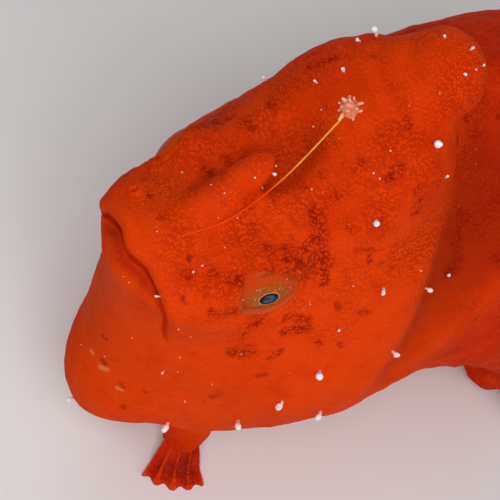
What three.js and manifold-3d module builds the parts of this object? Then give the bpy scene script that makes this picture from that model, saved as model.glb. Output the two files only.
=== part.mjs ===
// A painted frogfish, life size, standing on its four limb-like fins.
// Millimetres. The fish faces -X, its left side faces -Y and +Z is up; the floor is z = 0.
import * as THREE from 'three';
import { mergeVertices } from 'three/addons/utils/BufferGeometryUtils.js';
import Module from 'manifold-3d';

const wasm = await Module();
wasm.setup();

// Driving dimensions, measured from the point midway between the eyes, which stands EYE_Z high.
const GAP = 0.3;
const EYE_Z = 50;
const EYE = { x: 0.7, y: 7.4, z: 50.2, ball: 2.9, socket: 3.2, rim: 0.45, rimReach: 2.7, rimOut: 1.4 };
const EYE_AXIS = new THREE.Vector3(-0.29, 0.95, 0.08).normalize();

// The fleshy forms of head and body, blended into one skin.
const TRUNK = { at: [35, 0, 32.5], radii: [37, 18.2, 26.5], pitch: -4 };
const CHEEK = { at: [13, 0, 32], radii: [17, 17.9, 17.5], pitch: 0 };
const THROAT = { at: [5, 0, 22.5], radii: [12.5, 11.6, 10.5], pitch: 0 };
const CHIN = { at: [-5.5, 0, 20.8], radii: [5.7, 5.6, 7.2], pitch: 0 };
const JOWL = { at: [2, 0, 37], radii: [9.5, 10.5, 13], pitch: 0 };
const CROWN = { at: [9, 0, 48], radii: [15, 9.6, 8.5], pitch: 0 };
const NAPE = { at: [15, 0, 52], radii: [9.5, 8, 6.5], pitch: 30 };
const SNOUT = { at: [-3, 0, 47.3], radii: [10, 9.8, 6], pitch: -15 };
const BROW = { at: [0.8, 6.8, 50], radii: [4.6, 2.6, 4.4], pitch: 0 };
const JAW = { from: [-3.8, 0, 43.5], to: [-2.3, 0, 25.5], radii: [6.2, 7.3], flat: 1 };
const PEDUNCLE = { from: [60, 0, 35.5], to: [80, 0, 37], radii: [12.5, 8], flat: 0.55 };
const TAIL_END = 82;

// The closed mouth lies on a sheet that slopes back and down, then drops behind the chin.
const MOUTH = {
  x: -13, z: 52, slope: 0.531, bow: 0.0227, bendZ: 36, dropSlope: 0.15, reach: 62,
  back: [1, 1.9], backZ: [38, 49], backY: 3,
};
const LIPS = {
  corner: 64, over: 38, sink: 0.25, end: 0.35,
  upper: { shift: [0.5, 0.75], thick: 1.15 }, lower: { shift: [-0.8, -0.35], thick: 1.1 },
};
const HEAD_CUT = { x: 24, z: 34, slope: 0.25 };
const TAIL_CUT = { x: 62, z: 0, slope: 0 };

// The body's skin is found along rays: a fan of them from the heart, then rings round the core to the tail.
const CORE = { heart: [8, 0, 34], tailZ: 38, reach: 70, around: 44, fan: 16, stations: 21 };

// Spines, fishing rod and lure.
const SPINE_3 = { path: [[11, 0, 48], [17.6, 0, 57], [23.2, 0, 66.2]], radii: [9.6, 7, 4.3], flat: 0.86 };
const SPINE_2 = { path: [[-6.5, 0, 50.6], [-2, 0, 54.6], [2.2, 0, 59]], radii: [3.2, 2.5, 1.7], flat: 0.85 };
const ROD = [[-8.6, -0.8, 52], [-6.6, -1.8, 54.6], [-1.9, -2.6, 56.4], [3.2, -2.6, 60], [7.8, -2.2, 67]];
const ROD_RADIUS = 0.32;
const ROD_ROOT = 0.9;
const LURE = { at: [8.5, -2.1, 68.6], ball: 1.1, knobs: 6, knob: 0.62 };

// Fins: ray counts of the species, lengths and thicknesses.
const RAY = { root: 0.75, tip: 0.34, web: 0.28, flank: 0.3, notch: 0.07 };
const DORSAL = {
  rays: 12, rows: 5, from: 35, to: 75, height: 14, sink: 3.5, low: 0.62, crest: [0.12, 0.87],
  lean: [12, 52], wave: 0.9, ripple: 5, phase: 0.6,
};
const ANAL = {
  rays: 7, rows: 4, from: 55, to: 74, height: 11, sink: 3.5, low: 0.6, crest: [0.2, 0.85],
  lean: [30, 62], wave: 0.7, ripple: 4, phase: 0,
};
const CAUDAL = {
  rays: 9, rows: 6, rootX: 79, rootZ: 37, rootHalf: 6.2, reach: 27, spread: 33, round: 0.13,
  wave: 1.6, ripple: 2.2,
};
const SHOULDER = [38, 11.8, 27.5];
const ELBOW = [51.6, 18.6, 14.2];
const WRIST = [50.2, 15.6, 4.8];
const ARM_RADII = [8.4, 6, 3.8];
const HAND = { level: 0.62, round: 0.5, ray: [1.5, 0.75], web: [1.1, 0.6] };
const PECTORAL = { rays: 10, heading: 28, spread: 88, length: 13, palm: 2.8, rows: 6, lift: 4.4 };
const THIGH = [6.4, 4.4, 12];
const ANKLE = [5.2, 5.9, 4.1];
const THIGH_RADII = [4.4, 2.6];
const PELVIC = { rays: 5, heading: 126, spread: 50, length: 6.2, palm: 1.8, rows: 4, lift: 3.8 };
const NOSTRIL = { ahead: 7.6, aside: 5.4, ring: 0.75, wall: 0.32 };

// Pale skin tags: the ones the photograph shows, by their pixels in its 500 x 500 frame, and others.
const TAG = { length: 1.15, root: 0.55, tip: 0.36, sides: 5, sink: 0.5 };
const TAG_PIXELS = [
  [68, 402], [168, 422], [238, 420], [282, 401], [320, 371], [320, 408], [392, 351], [339, 329], [383, 288],
  [425, 288], [447, 275], [376, 220], [435, 145], [391, 151], [374, 173], [314, 126], [314, 190], [344, 72],
  [360, 42], [317, 83], [445, 38], [466, 75], [193, 273], [164, 371],
];
const MORE_TAGS = { count: 34, from: 6, to: 76, high: 0.25, low: 1.9 };
const TAG_SEED = 11;

// Where the photograph was taken from: degrees off the nose to the left, above, and about its own axis.
const CAMERA = {
  left: 34, above: 55, roll: 28, distance: 170, focal: 1644, eyes: [217.5, 220.5], middle: 250,
};

const FLESH = new THREE.MeshStandardMaterial({ color: 0xe23a0c, roughness: 0.55, metalness: 0 });
const FIN = new THREE.MeshStandardMaterial({ color: 0xd23208, roughness: 0.6, metalness: 0 });
const EYEBALL = new THREE.MeshStandardMaterial({ color: 0x5a3a22, roughness: 0.15, metalness: 0 });
const STRAND = new THREE.MeshStandardMaterial({ color: 0xc98a1e, roughness: 0.5, metalness: 0 });
const LURE_SKIN = new THREE.MeshStandardMaterial({ color: 0xf3d9c8, roughness: 0.6, metalness: 0 });

const point = (a) => new THREE.Vector3(a[0], a[1], a[2]);
const mirrored = (a, side) => [a[0], a[1] * side, a[2]];
const mix = (a, b, t) => a + (b - a) * t;

// Distance-like functions of the forms, negative inside.
function ellipsoid(form, x, y, z) {
  const turn = THREE.MathUtils.degToRad(form.pitch);
  const dx = x - form.at[0];
  const dy = y - form.at[1];
  const dz = z - form.at[2];
  const u = dx * Math.cos(turn) + dz * Math.sin(turn);
  const w = -dx * Math.sin(turn) + dz * Math.cos(turn);
  const [a, b, c] = form.radii;
  const near = Math.hypot(u / a, dy / b, w / c);
  const slope = Math.hypot(u / (a * a), dy / (b * b), w / (c * c));
  return near * (near - 1) / Math.max(slope, 1e-9);
}

function roundCone(form, x, y, z) {
  const axis = form.to.map((v, i) => v - form.from[i]);
  const p = [x - form.from[0], y - form.from[1], z - form.from[2]];
  const length2 = axis[0] ** 2 + axis[1] ** 2 + axis[2] ** 2;
  const along = (p[0] * axis[0] + p[1] * axis[1] + p[2] * axis[2]) / length2;
  const t = Math.min(Math.max(along, 0), 1);
  const away = Math.hypot(p[0] - t * axis[0], (p[1] - t * axis[1]) / form.flat, p[2] - t * axis[2]);
  return (away - mix(form.radii[0], form.radii[1], t)) * form.flat;
}

function blend(a, b, width) {
  const h = Math.max(width - Math.abs(a - b), 0) / width;
  return Math.min(a, b) - h * h * width / 4;
}

function body(x, y, z) {
  let d = blend(ellipsoid(TRUNK, x, y, z), ellipsoid(CHEEK, x, y, z), 8);
  d = blend(d, ellipsoid(THROAT, x, y, z), 6);
  d = blend(d, ellipsoid(CROWN, x, y, z), 8);
  d = blend(d, ellipsoid(NAPE, x, y, z), 6);
  d = blend(d, ellipsoid(JOWL, x, y, z), 6);
  d = blend(d, ellipsoid(SNOUT, x, y, z), 4);
  d = blend(d, roundCone(JAW, x, y, z), 4);
  d = blend(d, ellipsoid(CHIN, x, y, z), 4);
  d = blend(d, ellipsoid(BROW, x, Math.abs(y), z), 2.5);
  return blend(d, roundCone(PEDUNCLE, x, y, z), 12);
}

// How far out along a ray the body's surface lies, at a small distance off the skin if wanted.
function surfaceAlong(origin, way, off = 0) {
  const at = (t) => body(origin.x + way.x * t, origin.y + way.y * t, origin.z + way.z * t) - off;
  let t = CORE.reach;
  while (t > 0 && at(t) > 0.01) t -= Math.max(at(t) * 0.6, 0.02);
  let low = t - 0.3;
  let high = t + 0.3;
  for (let halving = 0; halving < 14; halving += 1) {
    const middle = (low + high) / 2;
    if (at(middle) > 0) high = middle; else low = middle;
  }
  return origin.clone().addScaledVector(way, (low + high) / 2);
}

function skinNormal(p) {
  const e = 0.2;
  return new THREE.Vector3(
    body(p.x + e, p.y, p.z) - body(p.x - e, p.y, p.z),
    body(p.x, p.y + e, p.z) - body(p.x, p.y - e, p.z),
    body(p.x, p.y, p.z + e) - body(p.x, p.y, p.z - e)).normalize();
}

// A closed solid from points and triangles, turned right side out.
function solid(points, triangles) {
  let volume = 0;
  const cross = new THREE.Vector3();
  for (const [a, b, c] of triangles) {
    volume += points[a].dot(cross.crossVectors(points[b], points[c]));
  }
  const faces = volume > 0 ? triangles : triangles.map(([a, b, c]) => [a, c, b]);
  return new wasm.Manifold(new wasm.Mesh({
    numProp: 3,
    vertProperties: new Float32Array(points.flatMap((p) => [p.x, p.y, p.z])),
    triVerts: new Uint32Array(faces.flat()),
  }));
}

function solidOfGeometry(geometry) {
  const bare = geometry.clone();
  bare.deleteAttribute('normal');
  bare.deleteAttribute('uv');
  const merged = mergeVertices(bare, 1e-4);
  const position = merged.getAttribute('position');
  const points = Array.from({ length: position.count },
    (_, i) => new THREE.Vector3().fromBufferAttribute(position, i));
  const index = merged.getIndex().array;
  const triangles = [];
  for (let i = 0; i < index.length; i += 3) {
    if (new Set([index[i], index[i + 1], index[i + 2]]).size === 3) {
      triangles.push([index[i], index[i + 1], index[i + 2]]);
    }
  }
  return solid(points, triangles);
}

function largest(shape) {
  return shape.decompose().reduce((a, b) => (b.volume() > a.volume() ? b : a));
}

function joined(shapes) {
  return shapes.reduce((all, next) => all.add(next));
}

function meshOf(name, shape, material) {
  const { vertProperties, triVerts, numProp } = largest(shape).getMesh();
  const places = new Float32Array(vertProperties.length / numProp * 3);
  for (let i = 0; i < places.length / 3; i += 1) {
    places.set(vertProperties.subarray(i * numProp, i * numProp + 3), i * 3);
  }
  const geometry = new THREE.BufferGeometry();
  geometry.setAttribute('position', new THREE.BufferAttribute(places, 3));
  geometry.setIndex(Array.from(triVerts));
  const mesh = new THREE.Mesh(geometry, material);
  mesh.name = name;
  return mesh;
}

// Rings of points, each as long as the next, closed by a middle point at both ends.
function tube(rings) {
  const points = rings.flat();
  const sides = rings[0].length;
  const triangles = [];
  for (let r = 0; r + 1 < rings.length; r += 1) {
    for (let i = 0; i < sides; i += 1) {
      const a = r * sides + i;
      const b = r * sides + (i + 1) % sides;
      triangles.push([a, b, b + sides], [a, b + sides, a + sides]);
    }
  }
  [[0, 1], [rings.length - 1, -1]].forEach(([r, turn]) => {
    const middle = rings[r].reduce((sum, p) => sum.add(p), new THREE.Vector3()).divideScalar(sides);
    points.push(middle);
    for (let i = 0; i < sides; i += 1) {
      const a = r * sides + i;
      const b = r * sides + (i + 1) % sides;
      triangles.push(turn > 0 ? [b, a, points.length - 1] : [a, b, points.length - 1]);
    }
  });
  return solid(points, triangles);
}

// A tapered tube along a smooth path, with domed ends and a section that may be flattened.
function limb(path, radii, sides, steps, flat = 1) {
  const curve = new THREE.CatmullRomCurve3(path.map(point));
  const widths = new THREE.CatmullRomCurve3(radii.map((r, i) => new THREE.Vector3(i, r, 0)));
  const frames = curve.computeFrenetFrames(steps, false);
  const rings = [];
  const ring = (t, index, scale, shift) => {
    const middle = curve.getPointAt(t).addScaledVector(frames.tangents[index], shift);
    const r = widths.getPoint(t).y * scale;
    rings.push(Array.from({ length: sides }, (_, i) => {
      const angle = 2 * Math.PI * i / sides;
      return middle.clone()
        .addScaledVector(frames.normals[index], Math.cos(angle) * r)
        .addScaledVector(frames.binormals[index], Math.sin(angle) * r * flat);
    }));
  };
  const first = radii[0];
  const last = radii[radii.length - 1];
  const capAngles = [70, 45, 22].map(THREE.MathUtils.degToRad);
  capAngles.forEach((a) => ring(0, 0, Math.cos(a), -first * Math.sin(a)));
  for (let step = 0; step <= steps; step += 1) ring(step / steps, step, 1, 0);
  capAngles.reverse().forEach((a) => ring(1, steps, Math.cos(a), last * Math.sin(a)));
  return tube(rings);
}

// A thin plate between two like grids of points, split into triangles alike on both faces.
function plate(front, back) {
  const rows = front[0].length;
  const columns = front.length;
  const points = [...front.flat(), ...back.flat()];
  const half = rows * columns;
  const at = (i, j) => i * rows + j;
  const triangles = [];
  for (let i = 0; i + 1 < columns; i += 1) {
    for (let j = 0; j + 1 < rows; j += 1) {
      const [a, b, c, d] = [at(i, j), at(i + 1, j), at(i + 1, j + 1), at(i, j + 1)];
      triangles.push([a, b, c], [a, c, d], [half + a, half + c, half + b], [half + a, half + d, half + c]);
    }
  }
  const border = [];
  for (let i = 0; i + 1 < columns; i += 1) border.push([at(i, 0), at(i + 1, 0)]);
  for (let j = 0; j + 1 < rows; j += 1) border.push([at(columns - 1, j), at(columns - 1, j + 1)]);
  for (let i = columns - 1; i > 0; i -= 1) border.push([at(i, rows - 1), at(i - 1, rows - 1)]);
  for (let j = rows - 1; j > 0; j -= 1) border.push([at(0, j), at(0, j - 1)]);
  for (const [a, b] of border) triangles.push([b, a, half + a], [b, half + a, half + b]);
  return solid(points, triangles);
}

// A fin with raised rays: place(s, v) gives its middle sheet, s across the rays and v outward.
function rayedFin(rays, rows, place, thickness) {
  const columns = [];
  for (let ray = 0; ray < rays; ray += 1) {
    const s = ray / (rays - 1);
    const flank = RAY.flank / (rays - 1);
    if (ray > 0) columns.push({ s: s - flank, ridge: false });
    columns.push({ s, ridge: true });
    if (ray < rays - 1) columns.push({ s: s + flank, ridge: false });
  }
  const front = [];
  const back = [];
  for (const column of columns) {
    const near = [];
    const far = [];
    for (let row = 0; row <= rows; row += 1) {
      const v = row / rows * (column.ridge ? 1 : 1 - RAY.notch);
      const p = place(column.s, v);
      const across = place(column.s + 0.01, v).sub(place(column.s - 0.01, v));
      const out = place(column.s, v + 0.01).sub(place(column.s, v - 0.01));
      const normal = across.cross(out).normalize();
      const [over, under] = thickness(column.ridge, v);
      near.push(p.clone().addScaledVector(normal, over));
      far.push(p.clone().addScaledVector(normal, -under));
    }
    front.push(near);
    back.push(far);
  }
  return plate(front, back);
}

function evenRays(ridge, v) {
  const half = ridge ? mix(RAY.root, RAY.tip, v) : RAY.web;
  return [half, half];
}

// The body in one piece: rays fan out from a point inside the head, then from the body's axis.
function bodySolid(off) {
  const heart = point(CORE.heart);
  const rings = [];
  const waysRound = (forward, aside) => Array.from({ length: CORE.around }, (_, i) => {
    const angle = 2 * Math.PI * i / CORE.around;
    return new THREE.Vector3(-forward, Math.sin(angle) * aside, Math.cos(angle) * aside);
  });
  for (let i = 1; i <= CORE.fan; i += 1) {
    const polar = Math.PI / 2 * (i - 0.6) / (CORE.fan - 0.6);
    rings.push(waysRound(Math.cos(polar), Math.sin(polar)).map((way) => surfaceAlong(heart, way, off)));
  }
  for (let i = 1; i <= CORE.stations; i += 1) {
    const t = i / CORE.stations;
    const axis = new THREE.Vector3(mix(heart.x, TAIL_END + off, t), 0, mix(heart.z, CORE.tailZ, t));
    rings.push(waysRound(0, 1).map((way) => surfaceAlong(axis, way, off)));
  }
  return tube(rings);
}

// Everything on one side of a plane that runs across the fish and leans by a slope.
function halfSpace({ x, z, slope }, side) {
  const deep = 160;
  const edge = (height) => x + slope * (height - z) + side * GAP / 2;
  const outline = new THREE.Shape([
    new THREE.Vector2(edge(-deep), -deep), new THREE.Vector2(edge(deep), deep),
    new THREE.Vector2(edge(deep) + side * deep, deep), new THREE.Vector2(edge(-deep) + side * deep, -deep),
  ]);
  const slab = new THREE.ExtrudeGeometry(outline, { depth: deep, bevelEnabled: false });
  slab.rotateX(Math.PI / 2);
  slab.translate(0, deep / 2, 0);
  return solidOfGeometry(slab);
}

// The sheet of the mouth, where x depends on width and height. It lies further back under the snout.
function mouthX(y, z) {
  const above = MOUTH.x - MOUTH.slope * (Math.max(z, MOUTH.bendZ) - MOUTH.z);
  const below = MOUTH.dropSlope * Math.max(MOUTH.bendZ - z, 0);
  const back = mix(...MOUTH.back, THREE.MathUtils.smoothstep(Math.abs(y), 0, MOUTH.backY));
  return above + below - MOUTH.bow * y * y + back * THREE.MathUtils.smoothstep(z, ...MOUTH.backZ);
}

// All that lies before that sheet, shifted by half a gap.
function beforeMouth(gap) {
  const heights = [-8, 12, 24, MOUTH.bendZ - 1, MOUTH.bendZ + 1, 41, 44, 47, 50, 66];
  const widths = [-26, -18, -13, -9, -6, -4.5, -3, -1.5, 0, 1.5, 3, 4.5, 6, 9, 13, 18, 26];
  const at = (shift, y, z) => new THREE.Vector3(mouthX(y, z) + shift, y, z);
  const grid = (shift) => widths.map((y) => heights.map((z) => at(shift, y, z)));
  return plate(grid(gap / 2), grid(-MOUTH.reach));
}

// Points of the mouth line on the skin, from the right corner to the left one.
function mouthLine(count) {
  const corner = THREE.MathUtils.degToRad(LIPS.corner);
  return Array.from({ length: count }, (_, i) => {
    const angle = mix(corner, -corner, i / (count - 1));
    const step = (reach) => {
      const y = Math.sin(angle) * reach;
      const z = LIPS.over + Math.cos(angle) * reach;
      return new THREE.Vector3(mouthX(y, z), y, z);
    };
    let reach = CORE.reach / 2;
    while (reach > 1 && body(...step(reach).toArray()) > -LIPS.sink) reach -= 0.05;
    return step(reach);
  });
}

function lip({ shift, thick }) {
  const line = mouthLine(13).map((p) => [p.x + shift[0], p.y, p.z + shift[1]]);
  return limb(line, [LIPS.end, thick, thick, thick, LIPS.end], 6, 16);
}

function eyeMiddle(side) {
  return new THREE.Vector3(EYE.x, EYE.y * side, EYE.z);
}

function ballAt(middle, radius, wide, high) {
  const ball = new THREE.SphereGeometry(radius, wide, high);
  ball.translate(middle.x, middle.y, middle.z);
  return solidOfGeometry(ball);
}

function eyeRim(side) {
  const axis = new THREE.Vector3(EYE_AXIS.x, EYE_AXIS.y * side, EYE_AXIS.z);
  const ring = new THREE.TorusGeometry(EYE.rimReach, EYE.rim, 6, 18);
  ring.applyQuaternion(new THREE.Quaternion().setFromUnitVectors(new THREE.Vector3(0, 0, 1), axis));
  const middle = eyeMiddle(side).addScaledVector(axis, EYE.rimOut);
  ring.translate(middle.x, middle.y, middle.z);
  return solidOfGeometry(ring);
}

function spine(form, sides, steps) {
  return limb(form.path, form.radii, sides, steps, form.flat);
}

// Height of the back or the belly over a place on the midline.
function ridgeZ(x, way) {
  return surfaceAlong(new THREE.Vector3(x, 0, CORE.heart[2]), new THREE.Vector3(0, 0, way)).z;
}

// The soft dorsal fin stands on the back (way 1), the anal fin hangs from the belly (way -1).
function medianFin(form, way) {
  const place = (s, v) => {
    const x = mix(form.from, form.to, s);
    const crest = Math.sin(Math.PI * mix(form.crest[0], form.crest[1], s));
    const out = v * (form.height * mix(form.low, 1, crest) + form.sink);
    const lean = THREE.MathUtils.degToRad(mix(form.lean[0], form.lean[1], s));
    const wave = form.wave * Math.sin(form.ripple * s + form.phase) * v * v;
    return new THREE.Vector3(x + Math.sin(lean) * out, wave,
      ridgeZ(x, way) + way * (Math.cos(lean) * out - form.sink));
  };
  return rayedFin(form.rays, form.rows, place, evenRays);
}

function caudalFin() {
  const place = (s, v) => {
    const across = 2 * s - 1;
    const fan = THREE.MathUtils.degToRad(CAUDAL.spread * across);
    const reach = CAUDAL.reach * (1 - CAUDAL.round * across * across) * v;
    const wave = CAUDAL.wave * Math.sin(CAUDAL.ripple * v) * (0.5 + 0.5 * across);
    return new THREE.Vector3(CAUDAL.rootX + Math.cos(fan) * reach, wave,
      CAUDAL.rootZ + CAUDAL.rootHalf * across + Math.sin(fan) * reach);
  };
  return rayedFin(CAUDAL.rays, CAUDAL.rows, place, evenRays);
}

// A limb-like fin's spread hand: it slopes down from its root and lies flat on the floor to its tips.
function hand(form, root, side) {
  const place = (s, v) => {
    const heading = THREE.MathUtils.degToRad(form.heading);
    const turn = heading + THREE.MathUtils.degToRad(form.spread * (s - 0.5));
    const aside = form.palm * (2 * s - 1);
    const reach = form.length * (1 - HAND.round * (s - 0.5) ** 2) * v;
    const lift = form.lift * (0.5 + 0.5 * Math.cos(Math.PI * Math.min(v / HAND.level, 1)));
    const x = root[0] - Math.sin(heading) * aside + Math.cos(turn) * reach;
    const y = root[1] + Math.cos(heading) * aside + Math.sin(turn) * reach;
    return new THREE.Vector3(x, y * side, lift);
  };
  const thickness = (ridge, v) => {
    const over = mix(...(ridge ? HAND.ray : HAND.web), v);
    return side > 0 ? [0, over] : [over, 0];
  };
  return rayedFin(form.rays, form.rows, place, thickness);
}

function arm(side, swell) {
  const path = [SHOULDER, ELBOW, WRIST].map((p) => mirrored(p, side));
  return limb(path, ARM_RADII.map((r) => r + swell), 16, 12);
}

function pelvicFin(side) {
  const thigh = limb([THIGH, ANKLE].map((p) => mirrored(p, side)), THIGH_RADII, 10, 4);
  return thigh.add(hand(PELVIC, ANKLE, side)).subtract(belowFloor());
}

function belowFloor() {
  const slab = new THREE.BoxGeometry(400, 400, 40);
  slab.translate(0, 0, -20);
  return solidOfGeometry(slab);
}

// A cluster of soft lobes, grown all round by a swell.
function lure(swell) {
  const middle = point(LURE.at);
  const pieces = [ballAt(middle, LURE.ball + swell, 8, 6)];
  for (let i = 0; i < LURE.knobs; i += 1) {
    const turn = i * 2.4;
    const rise = mix(-0.5, 0.95, i / (LURE.knobs - 1));
    const ring = Math.sqrt(1 - rise * rise);
    const way = new THREE.Vector3(Math.cos(turn) * ring, Math.sin(turn) * ring, rise);
    pieces.push(ballAt(middle.clone().addScaledVector(way, LURE.ball), LURE.knob + swell, 5, 4));
  }
  return joined(pieces);
}

function fishingRod() {
  const thick = [ROD_ROOT, ROD_RADIUS * 1.3, ROD_RADIUS, ROD_RADIUS, ROD_RADIUS, ROD_RADIUS];
  return limb([...ROD, LURE.at], thick, 6, 18).subtract(lure(GAP));
}

// A short raised ring on each side of the snout.
function nostril(side) {
  const above = new THREE.Vector3(-NOSTRIL.ahead, NOSTRIL.aside * side, 40);
  const at = surfaceAlong(above, new THREE.Vector3(0, 0, 1));
  const ring = new THREE.TorusGeometry(NOSTRIL.ring, NOSTRIL.wall, 5, 9);
  ring.applyQuaternion(new THREE.Quaternion().setFromUnitVectors(new THREE.Vector3(0, 0, 1), skinNormal(at)));
  ring.translate(at.x, at.y, at.z);
  return solidOfGeometry(ring);
}

// The line of sight through a pixel of the photograph.
function sightLine([px, py]) {
  const radians = THREE.MathUtils.degToRad;
  const back = new THREE.Vector3(
    -Math.cos(radians(CAMERA.left)) * Math.cos(radians(CAMERA.above)),
    -Math.sin(radians(CAMERA.left)) * Math.cos(radians(CAMERA.above)),
    Math.sin(radians(CAMERA.above)));
  const level = new THREE.Vector3(-back.y, back.x, 0).normalize();
  const right = level.applyAxisAngle(back, radians(CAMERA.roll));
  const up = back.clone().cross(right);
  const scale = CAMERA.distance / CAMERA.focal;
  const eye = new THREE.Vector3(0, 0, EYE_Z)
    .addScaledVector(right, (CAMERA.middle - CAMERA.eyes[0]) * scale)
    .addScaledVector(up, (CAMERA.eyes[1] - CAMERA.middle) * scale)
    .addScaledVector(back, CAMERA.distance);
  const way = right.clone().multiplyScalar((px - CAMERA.middle) / CAMERA.focal)
    .addScaledVector(up, (CAMERA.middle - py) / CAMERA.focal).sub(back).normalize();
  return { eye, way };
}

function spineLobe(x, y, z) {
  const [low, middle, high] = SPINE_3.path;
  const lower = { from: low, to: middle, radii: SPINE_3.radii.slice(0, 2), flat: SPINE_3.flat };
  const upper = { from: middle, to: high, radii: SPINE_3.radii.slice(1), flat: SPINE_3.flat };
  return Math.min(roundCone(lower, x, y, z), roundCone(upper, x, y, z));
}

function seenPoint(pixel) {
  const { eye, way } = sightLine(pixel);
  const nearest = (p) => Math.min(body(p.x, p.y, p.z), spineLobe(p.x, p.y, p.z));
  let t = CAMERA.distance - 60;
  let gap = 1;
  while (gap > 0.02 && t < CAMERA.distance + 60) {
    gap = nearest(eye.clone().addScaledVector(way, t));
    t += gap * 0.7;
  }
  return gap > 0.02 ? null : eye.clone().addScaledVector(way, t);
}

function seeded(seed) {
  let state = seed;
  return () => {
    state = (state * 1664525 + 1013904223) % 4294967296;
    return state / 4294967296;
  };
}

function tag(at, way, size) {
  const length = TAG.length * size;
  const stub = new THREE.CylinderGeometry(TAG.tip * size, TAG.root * size, length + TAG.sink, TAG.sides);
  stub.translate(0, (length - TAG.sink) / 2, 0);
  stub.applyQuaternion(new THREE.Quaternion().setFromUnitVectors(new THREE.Vector3(0, 1, 0), way));
  stub.translate(at.x, at.y, at.z);
  return solidOfGeometry(stub);
}

// Whether a place on the body is bare skin, clear of whatever else grows there.
function bareSkin(at) {
  const room = TAG.length + 2 * GAP;
  const aside = Math.abs(at.y);
  const upperArm = { from: SHOULDER, to: ELBOW, radii: ARM_RADII, flat: 1 };
  const thigh = { from: THIGH, to: ANKLE, radii: THIGH_RADII, flat: 1 };
  const onRidge = aside < 1.5 * room && (at.x > DORSAL.from - room || at.z > EYE_Z + 4 && at.x < 8);
  return !onRidge && spineLobe(at.x, at.y, at.z) > room
    && roundCone(upperArm, at.x, aside, at.z) > room && roundCone(thigh, at.x, aside, at.z) > room;
}

// Skin tags, sorted into those of the body and those of the third spine.
function skinTags() {
  const random = seeded(TAG_SEED);
  const found = { body: [], spine: [] };
  for (const pixel of TAG_PIXELS) {
    const at = seenPoint(pixel);
    if (at === null) continue;
    const onBody = body(at.x, at.y, at.z) < spineLobe(at.x, at.y, at.z);
    if (onBody && !bareSkin(at)) continue;
    const away = onBody ? skinNormal(at) : at.clone().sub(point(SPINE_3.path[1])).setX(0).normalize();
    found[onBody ? 'body' : 'spine'].push(tag(at, away, mix(0.85, 1.15, random())));
  }
  for (let i = 0; i < MORE_TAGS.count; i += 1) {
    const x = mix(MORE_TAGS.from, MORE_TAGS.to, random());
    const turn = mix(MORE_TAGS.high, MORE_TAGS.low, random()) * (i % 2 ? 1 : -1);
    const way = new THREE.Vector3(0, Math.sin(turn), Math.cos(turn));
    const at = surfaceAlong(new THREE.Vector3(x, 0, CORE.heart[2]), way);
    if (bareSkin(at)) found.body.push(tag(at, skinNormal(at), mix(0.75, 1.1, random())));
  }
  return found;
}

function build() {
  const whole = bodySolid(0);
  const clear = bodySolid(GAP);
  const ahead = halfSpace(HEAD_CUT, -1);
  const behind = halfSpace(HEAD_CUT, 1);
  const beforeTail = halfSpace(TAIL_CUT, -1);
  const tail = halfSpace(TAIL_CUT, 1);
  const sockets = joined([1, -1].map((side) => ballAt(eyeMiddle(side), EYE.socket, 14, 10)));
  const rims = joined([1, -1].map(eyeRim));
  const nostrils = joined([1, -1].map(nostril));
  const tags = skinTags();
  const skin = whole.add(joined(tags.body));

  const nodes = {
    head: [skin.add(rims).add(nostrils).add(lip(LIPS.upper)).intersect(ahead)
      .subtract(beforeMouth(GAP)).subtract(sockets), FLESH],
    lower_jaw: [skin.add(lip(LIPS.lower)).intersect(beforeMouth(-GAP)), FLESH],
    torso: [skin.intersect(behind).intersect(beforeTail), FLESH],
    tail_peduncle: [skin.intersect(tail), FLESH],
    dorsal_spine_3: [spine(SPINE_3, 20, 9).add(joined(tags.spine)).subtract(clear), FLESH],
    dorsal_spine_2: [spine(SPINE_2, 12, 6).subtract(clear), FLESH],
    illicium: [fishingRod().subtract(clear), STRAND],
    esca: [lure(0), LURE_SKIN],
    dorsal_fin: [medianFin(DORSAL, 1).subtract(clear), FIN],
    anal_fin: [medianFin(ANAL, -1).subtract(clear), FIN],
    caudal_fin: [caudalFin().subtract(clear), FIN],
  };
  for (const [name, side] of [['left', -1], ['right', 1]]) {
    nodes[`eye_${name}`] = [ballAt(eyeMiddle(side), EYE.ball, 14, 10), EYEBALL];
    nodes[`pectoral_arm_${name}`] = [arm(side, 0).subtract(clear).subtract(belowFloor()), FLESH];
    nodes[`pectoral_fin_${name}`] = [hand(PECTORAL, WRIST, side).subtract(arm(side, GAP)), FIN];
    nodes[`pelvic_fin_${name}`] = [pelvicFin(side).subtract(clear), FIN];
  }
  const fish = new THREE.Group();
  for (const [name, [shape, material]] of Object.entries(nodes)) fish.add(meshOf(name, shape, material));
  const box = new THREE.Box3().setFromObject(fish);
  const middle = box.getCenter(new THREE.Vector3());
  fish.position.set(-middle.x, -middle.y, -box.min.z);
  return fish;
}

export default build();
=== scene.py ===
"""A painted frogfish standing on its limb-like fins: skin, fins, eyes, fishing rod, lure and skin tags.

Shapes are worked out in millimetres in the fish's own frame, where x = 0, y = 0 is midway between the
eyes, -X is ahead, -Y is the fish's left and z = 0 is the floor. to_row() takes them to the frame's metres.
"""
import math

import bpy
import numpy as np
from mathutils import Matrix, Vector
from mathutils.bvhtree import BVHTree


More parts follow.
